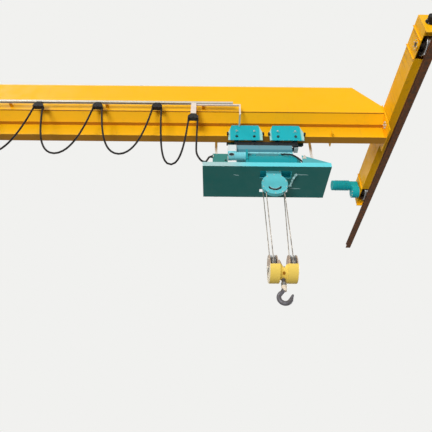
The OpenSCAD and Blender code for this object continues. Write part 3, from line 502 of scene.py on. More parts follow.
def ring(centre, axis, radius, count, first=0.0, sweep=360.0):
    """Places round an axis, each with the way out along it."""
    there = aimed(centre, axis)
    share = sweep / (count if sweep == 360.0 else count - 1)
    turns = [math.radians(first + k * share) for k in range(count)]
    return [(there @ Vector((radius * math.cos(t), radius * math.sin(t), 0)), Vector(axis)) for t in turns]


def ease_edges(bm, reach, segments):
    """Takes the sharpness off every edge."""
    settings = {"segments": segments, "profile": 0.5, "material": -1, "affect": "EDGES"}
    bmesh.ops.bevel(bm, geom=bm.edges[:], offset=reach, **settings)


def plate(outline, at, across, up, thickness):
    """A flat plate with eased edges from an outline given across and up from a place."""
    bm = bmesh.new()
    across, up = Vector(across), Vector(up)
    face = bm.faces.new([bm.verts.new(Vector(at) + across * u + up * v) for u, v in outline])
    grown = bmesh.ops.extrude_face_region(bm, geom=[face])["geom"]
    moved = [v for v in grown if isinstance(v, bmesh.types.BMVert)]
    bmesh.ops.translate(bm, verts=moved, vec=across.cross(up) * thickness)
    ease_edges(bm, thickness * 0.15, 1)
    return finished(bm)


# Stage

# The camera, fitted to the photograph: its place in metres and its turns in degrees
CAMERA_AT = (15.28, -4.945, -5.19)
CAMERA_RISE, CAMERA_ROLL = 36.95, 0.54
# Each light's name, the place from which it shines on the origin, its strength and its breadth
LAMPS = (
    ("front", (-3.2, -9.2, -3.0), 2.12, 24),
    ("top", (-6, -6, 9), 0.8, 20),
    ("back", (6, 9, 3), 1.1, 30),
)


def make_camera():
    """The photograph's view: from the floor, up at the hoist."""
    lens = bpy.data.cameras.new("view")
    lens.sensor_width = 36
    lens.lens = 38.33
    lens.clip_end = 200
    camera = bpy.data.objects.new("view", lens)
    bpy.context.scene.collection.objects.link(camera)
    rise = Matrix.Rotation(math.radians(90 + CAMERA_RISE), 4, "X")
    roll = Matrix.Rotation(math.radians(CAMERA_ROLL), 4, "Z")
    camera.matrix_world = Matrix.Translation(CAMERA_AT) @ rise @ roll
    bpy.context.scene.camera = camera


def make_lamp(name, at, energy, breadth):
    """A sun that shines from a place towards the origin."""
    light = bpy.data.lights.new(name, "SUN")
    light.energy = energy
    light.angle = math.radians(breadth)
    lamp = bpy.data.objects.new(name, light)
    bpy.context.scene.collection.objects.link(lamp)
    lamp.matrix_world = aimed(at, at)
    lamp.visible_camera = False


def make_stage(sizes):
    """Pale floor and background, a soft front light, weaker ones above and behind, and an even sky."""
    bm = bmesh.new()
    bmesh.ops.create_grid(bm, x_segments=1, y_segments=1, size=60)
    middle = (Vector(cad_box[0]) + Vector(cad_box[1])) / 2
    bmesh.ops.translate(bm, verts=bm.verts, vec=(middle.x, middle.y, -sizes.floor_drop))
    mesh = bpy.data.meshes.new("floor")
    bm.to_mesh(mesh)
    bm.free()
    mesh.materials.append(concrete("float_finished_concrete"))
    floor = bpy.data.objects.new("floor", mesh)
    bpy.context.scene.collection.objects.link(floor)

    for lamp in LAMPS:
        make_lamp(*lamp)

    world = bpy.data.worlds.new("sky")
    bpy.context.scene.world = world
    world.use_nodes = True
    tree = world.node_tree
    tree.nodes.clear()
    even = add(tree, "Background", {"Color": (1.0, 1.0, 1.0), "Strength": 0.42})
    pale = add(tree, "Background", {"Color": linear("#f1f1ef"), "Strength": 1.0})
    mixed = add(tree, "MixShader", [seen_direct(tree), even, pale])
    add(tree, "OutputWorld", {"Surface": mixed})
    bpy.context.scene.view_settings.view_transform = "Standard"


# Cable loops


def shoe_half():
    """Half the width of a saddle's shoe."""
    low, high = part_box("saddle_1")
    return (high[0] - low[0]) / 2


def cable_saddles():
    """Each saddle's body, place along the girder and share of the hoist's travel, from the left."""
    shares = {c["joint"]: c["ratio"] for c in frame["record"]["behaviour"]["couplings"]}
    names = sorted((n for n in NODES if n.startswith("saddle_")), key=lambda n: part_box(n)[0][0])
    found = [("bridge", "cable_anchor", 0.0)]
    found += [(n, n, shares[n + "_run"]) for n in names]
    rows = []
    for body, node, share in found:
        low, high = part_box(node)
        middle = Vector(((low[0] + high[0]) / 2, (low[1] + high[1]) / 2, low[2] + SHOE_RISE))
        rows.append((body, middle, share))
    low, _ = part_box("tow_arm")
    # The tow arm's shoe is as wide as the saddles' and stands at its left end
    rows.append(("hoist", Vector((low[0] + shoe_half(), rows[0][1].y, low[2] + SHOE_RISE)), 1.0))
    return rows


def over_shoe(centre, reach, start, end, count=10):
    """Points of the cable over a shoe, from the left to the right."""
    turns = [start + (end - start) * k / count for k in range(count + 1)]
    return [centre + Vector((math.cos(t), 0, math.sin(t))) * reach for t in turns]


def hang(first, last, slack, count=36):
    """Evenly spaced points of a cable of the given length that hangs between two points, and how far
    each of its ends leans from upright."""
    span, rise = last.x - first.x, last.z - first.z
    drawn = math.sqrt(slack**2 - rise**2)
    low, high = 0.01, 5.0
    for _ in range(60):
        shape = (low + high) / 2
        if span / 2 / shape > 40 or 2 * shape * math.sinh(span / 2 / shape) > drawn:
            low = shape
        else:
            high = shape
    bottom = (first.x + last.x) / 2 - shape * math.asinh(rise / drawn)
    starts = shape * math.sinh((first.x - bottom) / shape)
    ends = shape * math.sinh((last.x - bottom) / shape)
    level = first.z - shape * math.cosh((first.x - bottom) / shape)
    path = []
    for k in range(count + 1):
        x = bottom + shape * math.asinh((starts + (ends - starts) * k / count) / shape)
        y = first.y + (last.y - first.y) * k / count
        path.append(Vector((x, y, level + shape * math.cosh((x - bottom) / shape))))
    return path, math.atan(-shape / starts), math.atan(shape / ends)


def hanging_loop(a, b, reach, slack):
    """Points of a loop that hangs between two shoes, and the lean of its ends. Each pass starts where
    the last one found that the cable leaves the shoes."""
    lean_a = lean_b = 0.0
    for _ in range(3):
        first = a + Vector((math.cos(lean_a), 0, math.sin(lean_a))) * reach
        last = b + Vector((-math.cos(lean_b), 0, math.sin(lean_b))) * reach
        path, lean_a, lean_b = hang(first, last, slack)
    return path, lean_a, lean_b


def keep_up(shape, first, last, share_first, share_last):
    """Bakes a stretch of cable's place into its mesh."""
    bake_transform(shape)


def make_loops(sizes):
    """The festoon: one cable over all the saddles. Each loop hangs under its own weight and is three
    stretches, two legs and a bow."""
    radius = sizes.cable_width / 2
    jacket = rubber("rubber_cable_jacket")
    rows = cable_saddles()
    inset = 0.014
    reach = shoe_half() - inset
    pieces = []
    lean_before = math.radians(30)  # of the cable's first end, before the first shoe
    for i, (body, centre, share) in enumerate(rows[:-1]):
        _, after, share_after = rows[i + 1]
        path, lean_left, lean_right = hanging_loop(centre, after, reach, sizes.loop_length)
        bend = over_shoe(centre, reach, math.pi - lean_before, lean_left)
        lean_before = lean_right
        pieces.append(put(f"cable_on_shoe_{i}", round_bars([bend], radius, 3), jacket, body))
        span = path[-1].x - path[0].x
        cuts = [0, len(path) // 3, 2 * len(path) // 3, len(path) - 1]
        for part, low, high in zip("abc", cuts, cuts[1:]):
            run = path[max(low - 1, 0) : high + 2]
            shape = put(f"cable_loop_{i}{part}", round_bars([run], radius, 3), jacket, None)
            shares = [share + (share_after - share) * (path[k].x - path[0].x) / span for k in (low, high)]
            keep_up(shape, path[low], path[high], *shares)
            pieces.append(shape)
    for shape in pieces:
        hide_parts("festoon_cable")

    _, tow, _ = rows[-1]
    box_low, box_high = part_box("control_box")
    goal = Vector((box_low[0] - 0.0005, box_low[1] + GLAND_IN, box_high[2] - GLAND_DOWN))
    down = tow + X * reach
    bend = over_shoe(tow, reach, math.pi - lean_before, 0.0)
    # From the bottom of its sag up to the control box's gland
    sweep = [
        (-0.185, -0.135, -0.165),
        (-0.145, -0.118, -0.202),
        (-0.100, -0.092, -0.190),
        (-0.075, -0.056, -0.120),
        (-0.055, -0.022, -0.040),
        (-0.032, -0.002, -0.004),
        (-0.012, 0, 0),
        (0, 0, 0),
    ]
    route = [
        down,
        down - Z * 0.20,
        Vector((down.x, down.y, goal.z + 0.060)),
        Vector((down.x + 0.010, down.y + 0.004, goal.z - 0.080)),
        *(goal + Vector(step) for step in sweep),
    ]
    run = bend[:-1] + smooth_path(route, 0.02)
    shape = put("hoist_supply_cable", round_bars([run], radius, 3), jacket, "hoist")
    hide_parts("hoist_cable")


# Ropes


def make_ropes(paints, sizes):
    """Four falls of wire rope and the half turns under the two sheaves, laid up from six strands."""
    steel = wire("greased_wire_rope", paints.rope)
    radius = sizes.rope_width / 2
    lay = 0.11
    step = 0.014
    groove = 0.017  # from a sheave's rim to the rope's middle
    wound = 0.150  # from the drum's axis to the rope's middle
    apart = 0.125  # from the fixed pulley's middle to each of its falls
    hub = [Vector(middle_of(name)) for name in SHEAVES]
    low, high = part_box("sheave_left")
    pitch = (high[1] - low[1]) / 2 - groove
    cover = middle_of("pulley_cover")
    pulley = Vector((cover[0], cover[1], PULLEY_AXIS_Z))
    falls = [
        ("rope_fall_drum_left", hub[0] + Y * pitch, Vector((hub[0].x - 0.040, wound, DRUM_AXIS_Z))),
        ("rope_fall_pulley_left", hub[0] - Y * pitch, pulley - X * apart),
        ("rope_fall_pulley_right", hub[1] - Y * pitch, pulley + X * apart),
        ("rope_fall_drum_right", hub[1] + Y * pitch, Vector((hub[1].x + 0.030, wound, DRUM_AXIS_Z))),
    ]
    for name, low, high in falls:
        count = round((high - low).length / step)
        path = [low.lerp(high, k / count) for k in range(count + 1)]
        runs, strand = stranded(path, radius, lay)
        shape = put(name, round_bars(runs, strand, 1), steel, None)
        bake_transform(shape)
        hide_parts("hoist_ropes")
    turns = [math.pi * k / 34 for k in range(35)]
    for name, centre in zip(("rope_turn_left", "rope_turn_right"), hub):
        arc = [centre + Y * pitch * math.cos(a) - Z * pitch * math.sin(a) for a in turns]
        runs, strand = stranded(arc, radius, lay)
        shape = put(name, round_bars(runs, strand, 1), steel, "hook_block")
        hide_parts("rope_turns")


# Bolts, beads and small fittings


def fasten(name, body, places, size, material):
    """Adds one set of bolts to a body."""
    return put(name, hex_bolts(places, size), material, body, turn=30)


def both(places):
    """The same places on the other side of the girder too."""
    mirror = Matrix.Scale(-1, 3, Y)
    return places + [(mirror @ at, mirror @ out) for at, out in places]


def bolt_girder(bolt):
    """Bolts of the girder's ends, track brackets, wheel bearings, buffers and travel drives."""
    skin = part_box("box_shell")[0][1] - 0.006
    low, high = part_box("track_brackets")
    rows = (high[2] - 0.018, high[2] - 0.045)
    count, pitch = 10, 1.5
    spots = [Vector((low[0] + pitch * i + 0.025, skin, z)) for i in range(count) for z in rows]
    fasten("bracket_bolts", "bridge", [(at, -Y) for at in spots], 0.007, bolt)
    low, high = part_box("girder_end_plates")
    joints = []
    for x, out in ((low[0] + 0.012, X), (high[0] - 0.012, -X)):
        joints += both([(Vector((x, y, z)), out) for y in (0.100, 0.150) for z in (0.195, 0.255)])
    fasten("girder_end_bolts", "bridge", joints, 0.018, bolt)
    cap_face, cap_circle = 0.130, 0.056
    drive_face, drive_circle = 0.250, 0.092
    buffer_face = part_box("end_carriage_left")[1][1] + 0.010
    buffer_height = middle_of("carriage_buffers")[2]
    caps, plates, drives = [], [], []
    for name in WHEELS:
        centre = Vector(middle_of(name))
        inner = X if "left" in name else -X
        for way in [-inner] if "far" in name else [inner, -inner]:
            caps += ring(centre + way * cap_face, way, cap_circle, 6, 30)
        if "far" in name:
            flange = ring(centre + inner * drive_face, inner, drive_circle, 10)
            drives += [place for place in flange if place[0].z < centre.z - 0.02]
        out = Y if "far" in name else -Y
        plates += ring(Vector((centre.x, out.y * buffer_face, buffer_height)), out, 0.061, 4, 45)
    fasten("bearing_cap_bolts", "bridge", caps, 0.009, bolt)
    fasten("buffer_plate_bolts", "bridge", plates, 0.005, bolt)
    fasten("travel_drive_bolts", "bridge", drives, 0.010, bolt)


def bolt_hoist(bolt, dark):
    """Nuts of the tie bolts and axles, and the bolts of the drum, cover, boxes and hangers."""
    nut_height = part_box("trolley_left")[0][2] + 0.076
    nuts, pins = [], []
    for i, name in enumerate(RUNNERS):
        x, _, z = middle_of(name)
        near = (Vector((x, -0.096, nut_height)), -Y)
        # The trolley drive covers the first two on the far side
        nuts += [near] if i < 2 else both([near])
        pins += both([(Vector((x, -0.105, z)), -Y)])
    fasten("tie_bolt_nuts", "hoist", nuts, 0.021, dark)
    fasten("axle_pins", "hoist", pins, 0.013, bolt)
    end = Vector((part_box("drum_housing")[0][0], 0.0, DRUM_AXIS_Z))
    fasten("drum_end_bolts", "hoist", ring(end, -X, 0.184, 7, 150, 180), 0.009, bolt)
    eye = cover_eye()
    rim = ring(eye, -Y, 0.165, 10, 18)
    rim += [(eye + X * x + Z * z, -Y) for x in (-0.085, 0.085) for z in (0.23, 0.27)]
    fasten("pulley_cover_bolts", "hoist", rim, 0.008, bolt)
    low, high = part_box("hoist_motor")
    corners = [Vector((low[0] + x, -0.165, high[2] - z)) for x in (0.014, 0.111) for z in (0.014, 0.100)]
    fasten("terminal_box_screws", "hoist", [(at, -Y) for at in corners], 0.005, bolt)
    middle = middle_of("shield_hangers")[0]
    straps = []
    for way in (-1, 1):
        straps += [(Vector((middle + way * 0.476, 0.1043, z)), Y) for z in (0.150, 0.205)]
        straps += [(Vector((middle + way * 0.757, 0.3083, z)), Y) for z in (-0.868, -0.838)]
    fasten("hanger_bolts", "hoist", straps, 0.009, bolt)
    far = Vector((middle_of("trolley_left")[0], 0.176, 0.0))
    rims = [(far + X * x + Z * z, Y) for x in (-0.130, 0.130) for z in (-0.035, 0.020)]
    fasten("trolley_drive_bolts", "hoist", rims, 0.009, bolt)


def bolt_block(bolt, steel):
    """Bolts of the block's cheeks, the plates that keep its axle, the dark oval in the hole in its front,
    which is painted shadow, and the sleeve on the hook's neck."""
    low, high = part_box("block_housing")
    middle = Vector(((low[0] + high[0]) / 2, 0, middle_of("sheave_left")[2]))
    keeper = [(-0.045, -0.046), (0.045, -0.046), (0.045, -0.018), (-0.045, -0.018)]
    thick = 0.008
    rims = []
    for side, way, face in (("left", -X, low[0]), ("right", X, high[0])):
        centre = Vector((face, 0, middle.z))
        rims += ring(centre, way, 0.128, 6, 30)
        shape = plate(keeper, centre, way.cross(Z), Z, -thick)
        put("axle_keeper_" + side, shape, steel, "hook_block")
        rims += [(centre + way * thick + Y * y - Z * 0.033, way) for y in (-0.034, 0.034)]
    fasten("cheek_bolts", "hook_block", rims, 0.009, bolt)
    # Painted shadow: a dark brown oval set in the hole in the block's front
    bm = bmesh.new()
    front = aimed((middle.x, -0.0894, -2.396), (0, -0.579, -0.816))
    disc(bm, front @ Matrix.Diagonal((1.55, 1, 1, 1)), -0.012, 0.003, 0.0155, 0.9, 28)
    brown = enamel("hole_shadow_enamel", linear("#a86f12"), soil=0.2, chips=0.2)
    put("front_hole_shadow_disc", finished(bm), brown, "hook_block")
    nut = middle_of("hook_nut")
    bm = bmesh.new()
    there = aimed((nut[0], nut[1], -2.521), -Z)
    disc(bm, there, 0.0, 0.012, 0.036, 0.95, 32)
    disc(bm, there, 0.012, 0.070, 0.034, 0.82, 32)
    cream = enamel("neck_sleeve_enamel", linear("#efe0cb"), soil=0.2, chips=0.4)
    put("neck_sleeve", finished(bm), cream, "hook")


def make_tie_bars(dark):
    """Two flat bars along the four lugs by which the hoist hangs from the trolleys."""
    low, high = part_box("cross_beam")
    thick, tall = 0.010, 0.082
    for name, y in (("tie_bar_near", -0.061), ("tie_bar_far", 0.051)):
        bm = bmesh.new()
        bmesh.ops.create_cube(bm, size=1.0)
        bmesh.ops.scale(bm, vec=(high[0] - low[0], thick, tall), verts=bm.verts)
        bmesh.ops.translate(bm, vec=((low[0] + high[0]) / 2, y + thick / 2, TIE_BAR_Z), verts=bm.verts)
        ease_edges(bm, 0.002, 2)
        put(name, finished(bm), dark, "hoist")
    lugs = [middle_of(name)[0] for name in RUNNERS]
    spots = [(Vector((x, way * 0.061, TIE_BAR_Z)), Y * way) for x in lugs for way in (-1, 1)]
    fasten("tie_bar_bolts", "hoist", spots, 0.012, dark)


def bolt_saddles(dark):
    """The bolt through each saddle's shoe."""
    for body, centre, _ in cable_saddles():
        name = body if body.startswith("saddle") else {"bridge": "anchor", "hoist": "tow_arm"}[body]
        places = [(centre + Y * 0.030 * way - Z * 0.004, Y * way) for way in (-1, 1)]
        fasten(f"shoe_bolt_{name}", body, places, 0.010, dark)


def make_beads(girder):
    """Weld beads where the slanted plates meet the beam and round the girder's ends, and dark beads along
    the box's lower corners, whose darkness is painted shade in the corners."""
    low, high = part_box("slanted_plates")
    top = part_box("girder_end_plates")[1][2]
    runs = []
    for way in (-1, 1):
        runs.append([(x, way * 0.0675, low[2] - 0.0015) for x in (low[0], high[0])])
        for x, off in ((low[0], 0.003), (high[0], -0.003)):
            runs.append([(x + off, way * 0.2015, z) for z in (0.415, top)])
    put("weld_beads", round_bars(runs, 0.0045), girder, "bridge")
    # Painted shade: dark beads along the box's lower corners, over the weld seams there
    seams = [[(x, way * 0.2005, high[2] - 0.002) for x in (low[0], high[0])] for way in (-1, 1)]
    corner_shade_paint = enamel("seam_enamel_painted_shade", linear("#a56d12"), soil=0.5, chips=0.2)
    put("shaded_corner_beads", round_bars(seams, 0.007), corner_shade_paint, "bridge")


def outward(turn):
    """The way out from an axis along X, at a turn about it."""
    return Vector((0, math.cos(turn), math.sin(turn)))


def make_motor_cover(dark, pale):
    """The grille of the motor's fan, and the oval cover on its front: a pale rim round a dark plate."""
    hub = Vector((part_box("hoist_motor")[0][0] + 0.009, MOTOR_AXIS_Y, MOTOR_AXIS_Z))
    circle = [math.tau * k / 36 for k in range(37)]
    bars = [[hub + radius * outward(a) for a in circle] for radius in (0.012, 0.024, 0.036, 0.047)]
    bars += [[hub + radius * outward(math.tau * k / 8) for radius in (0.004, 0.0495)] for k in range(8)]
    put("fan_grille", round_bars(bars, 0.0018, 1), pale, "hoist")
    middle = hub + X * 0.043
    lean, half_turn, half_length, out = math.radians(20), 0.36, 0.040, 0.067
    rim = []
    for k in range(33):
        a = math.tau * k / 32
        way = outward(math.pi + lean + half_turn * math.sin(a))
        rim.append(middle + X * half_length * math.cos(a) + way * out)
    put("motor_cover_rim", round_bars([rim], 0.004), pale, "hoist")
    bm = bmesh.new()
    bm.faces.new([bm.verts.new(p) for p in rim[:-1]])
    bmesh.ops.triangulate(bm, faces=bm.faces[:])
    bmesh.ops.solidify(bm, geom=bm.faces[:], thickness=0.003)
    put("motor_cover_plate", finished(bm), dark, "hoist")


def cover_eye():
    """The middle of the pulley cover's round face."""
    low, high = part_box("pulley_cover")
    return Vector(((low[0] + high[0]) / 2, low[1], low[2] + 0.180))


def make_cover_slot_shade(dark, pale):
    """The slot in the pulley cover: dark rings set in it as painted shadow, and a pale bar over it as a
    painted highlight on its edge.
    """
    eye = cover_eye()
    turns = [math.radians(-150 + 120 * k / 24) for k in range(25)]
    ways = [X * math.cos(t) + Z * math.sin(t) for t in turns]
    # Painted shadow: dark rings in the slot
    dark_slot_rings = [[eye + way * radius + Y * 0.005 for way in ways] for radius in (0.093, 0.099, 0.105, 0.111)]
    put("cover_slot_shadow", round_bars(dark_slot_rings, 0.005), dark, "hoist")
    # Painted highlight: a pale bar along the slot's upper edge
    lip = [eye + way * 0.083 for way in ways]
    put("cover_slot_highlight", round_bars([lip], 0.004), pale, "hoist")


def make_box_fittings(dark, zinc):
    """The control box's hinges, lock and cable gland."""
    low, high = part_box("control_box")
    x, y, half = low[0] + 0.011, low[1] - 0.003, 0.022
    hinges = [[Vector((x, y, z + d)) for d in (-half, half)] for z in (low[2] + 0.17, high[2] - 0.06)]
    put("door_hinges", round_bars(hinges, 0.006), zinc, "hoist")
    bm = bmesh.new()
    lock = aimed((high[0] - 0.030, low[1], (low[2] + 0.110 + high[2]) / 2), -Y)
    disc(bm, lock, 0, 0.010, 0.012, 0.85)
    gland = aimed((low[0], low[1] + GLAND_IN, high[2] - GLAND_DOWN), -X)
    disc(bm, gland, 0, 0.008, 0.026, 1.0, 6)
    disc(bm, gland, 0.008, 0.030, 0.020, 0.85)
    put("lock_and_gland", finished(bm), dark, "hoist")


def make_hood_gusset(zinc):
    """The small bracket at the root of the shield's hood."""
    low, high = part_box("heat_shield")
    corner = Vector((high[0] - 0.394, low[1] - 0.0005, low[2] + 0.150))
    outline = [(0, 0), (0.064, 0), (0.052, 0.062), (0.040, 0.070), (0.010, 0.016)]
    put("hood_gusset", plate(outline, corner, X, Z, 0.004), zinc, "hoist")


def make_torn_strip(pale):
    """The ragged strip that hangs from the edge of the shield's hole."""
    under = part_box("heat_shield")[0][2]
    first, last = Vector((16.372, -0.236, under)), Vector((16.309, 0.047, under))
    count = 44
    bm = bmesh.new()
    rows = []
    for k in range(count + 1):
        t = k / count
        at = first.lerp(last, t) + X * 0.006 * math.sin(9 * t + 1) + X * 0.003 * math.sin(31 * t)
        drop = 0.024 + 0.008 * math.sin(23 * t) + 0.005 * math.sin(57 * t + 2)
        corners = ((0, 0.0005), (0.0015, 0.0005), (0.020, drop), (0.0185, drop))
        rows.append([bm.verts.new(at + X * x - Z * z) for x, z in corners])
    for a, b in zip(rows, rows[1:]):
        for k in range(4):
            bm.faces.new([a[k], b[k], b[(k + 1) % 4], a[(k + 1) % 4]])
    bm.faces.new(rows[0])
    bm.faces.new(rows[-1][::-1])
    put("torn_strip", finished(bm), pale, "hoist", turn=60)


def make_scuffs(pale):
    """Three scuffs under the shield, each from its middle, half length and turn."""
    marks = [((15.555, -0.180), 0.040, 0.2), ((16.455, -0.200), 0.105, 0.05), ((16.412, 0.095), 0.080, 0.08)]
    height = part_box("heat_shield")[0][2] - 0.0006
    bm = bmesh.new()
    for (x, y), reach, turn in marks:
        middle = Vector((x, y, height))
        way = Vector((math.cos(turn), math.sin(turn), 0))
        side = Z.cross(way)
        outline = []
        for k in range(20):
            a = math.tau * k / 20
            ragged = 0.008 * math.sin(a) * (1 + 0.4 * math.sin(5 * a))
            outline.append(middle + way * reach * math.cos(a) + side * ragged)
        bm.faces.new([bm.verts.new(p) for p in outline])
    grown = bmesh.ops.extrude_face_region(bm, geom=bm.faces[:])["geom"]
    moved = [v for v in grown if isinstance(v, bmesh.types.BMVert)]
    bmesh.ops.translate(bm, verts=moved, vec=(0, 0, 0.0004))
    put("scuff_marks", finished(bm), pale, "hoist")


def make_side_cable():
    """The black cable that comes down over the gear dome to the shield."""
    over = [
        (16.232, -0.108, -0.402),
        (16.240, -0.130, -0.430),
        (16.264, -0.170, -0.465),
        (16.356, -0.205, -0.512),
        (16.429, -0.212, -0.571),
        (16.487, -0.210, -0.640),
        (16.528, -0.195, -0.720),
        (16.540, -0.170, -0.810),
        (16.540, -0.160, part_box("heat_shield")[0][2] + 0.006),
    ]
    jacket = rubber("side_cable_jacket", "#141417")
    put("gear_side_cable", round_bars([smooth_path(over, 0.012)], 0.011, 3), jacket, "hoist")


def make_fasteners(paints):
    """Adds all the bolts, beads and small fittings."""
    bolt = galvanised("zinc_bolts", paints.zinc)
    dark = enamel("dark_nuts", linear("#232629"), soil=0.2, chips=0.5, roughness=0.5)
    steel = machined("keeper_steel")
    # Pale enamel for worn marks, and for the painted highlight over the pulley cover's slot
    pale = enamel("pale_worn_and_highlight_enamel", linear("#a9d5d6"), soil=0.3, chips=0.7)
    zinc = galvanised("fitting_zinc", paints.zinc)
    bolt_girder(bolt)
    bolt_hoist(bolt, dark)
    bolt_block(bolt, steel)
    make_tie_bars(dark)
    bolt_saddles(dark)
    make_beads(enamel("bead_enamel", paints.girder, soil=0.15, chips=0.1))
    make_motor_cover(dark, pale)
    make_cover_slot_shade(dark, pale)
    make_box_fittings(dark, zinc)
    make_hood_gusset(zinc)
    make_torn_strip(pale)
    make_scuffs(pale)
    make_side_cable()


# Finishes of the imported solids


def dress(names, material):
    """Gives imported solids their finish."""
    for name in names:
        mesh = NODES[name].data
        if not mesh.materials:
            mesh.materials.append(material)
        for i in range(len(mesh.materials)):
            mesh.materials[i] = material
        for holder in NODES[name].material_slots:
            holder.material = material


def middle_of(name):
    low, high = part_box(name)
    return [(low[i] + high[i]) / 2 for i in range(3)]


def paint_plain(paints):
    """Enamel coats without zones: the solids, the coat's name and colour, and how soiled and chipped."""
    girder = ["slanted_plates", "girder_end_plates", "track_brackets", "trolley_stops"]
    carriages = ["end_carriage_left", "end_carriage_right"]
    drives = ["travel_drive_left", "travel_drive_right"]
    # The drum's coat is darker than the trolleys'
    darker_teal = [c * 0.72 for c in paints.hoist]
    coats = (
        (girder, "girder_enamel", paints.girder, 0.12, 0.3),
        (carriages, "end_carriage_enamel", paints.girder, 0.45, 0.6),
        (drives, "drive_enamel", paints.hoist, 0.15, 0.5),
        (["drum_housing", "gearbox"], "drum_enamel", darker_teal, 0.15, 0.5),
        (["trolley_drive"], "trolley_drive_enamel", linear("#0f5f66"), 0.3, 0.5),
        (["pulley_cover"], "pulley_cover_enamel", paints.cover, 0.15, 0.5),
        (["shield_hangers"], "hanger_enamel", linear("#efeeea"), 0.1, 0.1),
    )
    for names, title, colour, soil, chips in coats:
        dress(names, enamel(title, colour, soil=soil, chips=chips))


def paint_girder(paints):
    """The rolled beam, whose faces that look down are a darker, browner yellow, painted shade with a little
    soil, and the box, whose upper edges are paler.
    """
    # Painted shade with a little soil: a darker, browner yellow on the beam's faces that look down
    soiled = linear("#c08420")
    beam = enamel("rolled_beam_enamel", paints.girder, soil=0.15, chips=0.3, under=soiled)
    dress(["rolled_beam"], beam)
    rim = zone(UP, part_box("box_shell")[1][2] - 0.012, "#f2dcab")
    dress(["box_shell"], enamel("box_enamel", paints.girder, soil=0.12, chips=0.3, zones=[rim]))


def paint_hoist(paints):
    """The hoist's coats with zones of their own."""
    for name in ("trolley_left", "trolley_right"):
        low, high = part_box(name)
        # Pale ends, which are painted highlight, and a dark far side, which is painted shade
        marks = [
            zone(ALONG, low[0] + 0.026, "#a9d6cf", -1, 0.014),
            zone(ALONG, high[0] - 0.040, "#a9d6cf", 1, 0.014),
            zone(ACROSS, 0.02, "#0d3f43"),
        ]
        # Strong pale chips along the edges: wear, and a painted highlight too
        knocked = {"chips": 0.9, "bare": PALE_PRIMER_AND_HIGHLIGHT, "wear": 0.012}
        dress([name], enamel(name + "_enamel", paints.hoist, soil=0.15, zones=marks, **knocked))
    low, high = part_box("cross_beam")
    # The beam's upper half, which is paler, its lower lip, paler still as a painted highlight, its right
    # end, and the lugs, dark as painted shade
    bands = [
        zone(UP, -0.305, "#6899a5"),
        zone(UP, -0.364, "#93dee5", -1),
        zone(ALONG, high[0] - 0.065, "#c5d4d6"),
        zone(UP, low[2] + 0.190, "#10282c"),
    ]
    dress(["cross_beam"], enamel("cross_beam_enamel", linear("#3f7f8d"), soil=0.2, chips=0.5, zones=bands))
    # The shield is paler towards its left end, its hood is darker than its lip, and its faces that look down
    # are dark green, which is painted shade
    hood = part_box("heat_shield")[0][2] + 0.077
    worn = [zone(ALONG, 15.60, "#aecfce", -1, 0.2), zone(UP, hood, "#58aeb3", 1, 0.01)]
    coats = {"under": tuple(paints.under), "zones": worn}
    dress(["heat_shield"], enamel("shield_enamel", paints.shield, soil=0.15, chips=0.6, **coats))
    dress(["control_box"], enamel("control_box_enamel", paints.panel, soil=0.25, chips=0.3, roughness=0.5))
    lid = [zone(UP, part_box("hoist_motor")[1][2] - 0.128, "#dbe3e3")]
    dress(["hoist_motor"], enamel("motor_enamel", linear("#84dae4"), soil=0.2, chips=0.3, zones=lid))


def paint_block(paints):
    """The hook block, whose cheeks are cream, which is a painted highlight, and whose guards over the axle
    are bare of yellow.
    """
    left, right, guards = 15.9395, 16.2805, middle_of("sheave_left")[2] - 0.0445
    # Painted highlight: cream on the outer faces of the cheeks
    cream, brown = "#fff0d2", "#bda68f"
    cheeks = [zone(ALONG, left, cream, -1), zone(ALONG, right, cream), zone(UP, guards, brown)]
    dress(["block_housing"], enamel("hook_block_enamel", paints.block, soil=0.1, chips=0.9, zones=cheeks))
    dress(["hook_nut"], machined("turned_steel"))
    dress(["block_axle"], galvanised("axle_zinc", linear("#f1ead9")))
    dress(["hook"], forged("forged_hook_steel"))


def paint_all(paints):
    """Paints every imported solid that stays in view."""
    paint_plain(paints)
    paint_girder(paints)
    paint_hoist(paints)
    paint_block(paints)
    dress(["cable_track"], galvanised("hot_dip_zinc", paints.zinc))
    shoe = [zone(UP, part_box("tow_arm")[0][2] + 0.100, "#17110e", -1)]
    dress(["tow_arm"], galvanised("tow_arm_zinc", linear("#efdfd2"), shoe))
    dress(["carriage_buffers", "trolley_buffers"], rubber("buffer_rubber"))
    saddles = [n for n in NODES if n.startswith("saddle_")] + ["cable_anchor"]
    dress(saddles, rubber("saddle_rubber", "#15100e"))
    for name in ("rail_left", "rail_right"):
        dress([name], rail_steel(name + "_steel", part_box(name)[1][2]))
    for name in WHEELS:
        dress([name], running_steel(name + "_steel", middle_of(name), X, 0.135))
    for name in RUNNERS:
        dress([name], running_steel(name + "_steel", middle_of(name), Y, 0.060))
    for name in SHEAVES:
        dress([name], running_steel(name + "_steel", middle_of(name), X, 0.140, ("#a8966a", "#6d6044")))


# Operators


class CRANE_OT_view(bpy.types.Operator):
    """Sets the camera as the photograph's was"""

    bl_idname = "crane.view"
    bl_label = "Camera"

    def execute(self, context):
        make_camera()
        return {"FINISHED"}


class CRANE_OT_loops(bpy.types.Operator):
    """Hangs the cable loops from their saddles"""

    bl_idname = "crane.loops"
    bl_label = "Cable loops"

    def execute(self, context):
        make_loops(context.scene.crane_sizes)
        return {"FINISHED"}


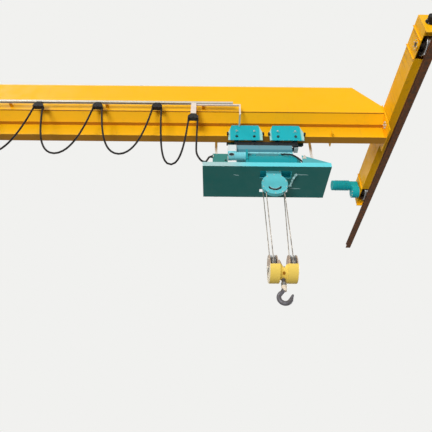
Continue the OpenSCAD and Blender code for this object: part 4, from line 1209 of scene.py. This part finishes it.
class CRANE_OT_ropes(bpy.types.Operator):
    """Lays up the hoist ropes"""

    bl_idname = "crane.ropes"
    bl_label = "Hoist ropes"

    def execute(self, context):
        make_ropes(context.scene.crane_paints, context.scene.crane_sizes)
        return {"FINISHED"}


class CRANE_OT_fasteners(bpy.types.Operator):
    """Adds bolts, weld beads and small fittings"""

    bl_idname = "crane.fasteners"
    bl_label = "Fasteners"

    def execute(self, context):
        make_fasteners(context.scene.crane_paints)
        return {"FINISHED"}


class CRANE_OT_finishes(bpy.types.Operator):
    """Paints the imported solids"""

    bl_idname = "crane.finishes"
    bl_label = "Finishes"

    def execute(self, context):
        paint_all(context.scene.crane_paints)
        return {"FINISHED"}


class CRANE_OT_stage(bpy.types.Operator):
    """Sets up the floor, the sky and the light"""

    bl_idname = "crane.stage"
    bl_label = "Stage"

    def execute(self, context):
        make_stage(context.scene.crane_sizes)
        return {"FINISHED"}


OPERATORS = (
    CRANE_OT_view,
    CRANE_OT_loops,
    CRANE_OT_ropes,
    CRANE_OT_fasteners,
    CRANE_OT_finishes,
    CRANE_OT_stage,
)


class CRANE_PT_dressing(bpy.types.Panel):
    """Lists the crane's sizes, colours and steps"""

    bl_label = "Overhead bridge crane"
    bl_space_type = "VIEW_3D"
    bl_region_type = "UI"
    bl_category = "Crane"

    def draw(self, context):
        for group in (context.scene.crane_sizes, context.scene.crane_paints):
            for key in group.__annotations__:
                self.layout.prop(group, key)
        for step in OPERATORS:
            self.layout.operator(step.bl_idname)


CLASSES = (CranePaints, CraneSizes, *OPERATORS, CRANE_PT_dressing)


def register():
    for kind in CLASSES:
        bpy.utils.register_class(kind)
    bpy.types.Scene.crane_paints = PointerProperty(type=CranePaints)
    bpy.types.Scene.crane_sizes = PointerProperty(type=CraneSizes)


def unregister():
    del bpy.types.Scene.crane_sizes
    del bpy.types.Scene.crane_paints
    for kind in reversed(CLASSES):
        bpy.utils.unregister_class(kind)


def main():
    """Dresses the crane."""
    register()
    for step in OPERATORS:
        getattr(bpy.ops.crane, step.bl_idname.split(".")[1])()


if __name__ == "__main__":
    main()
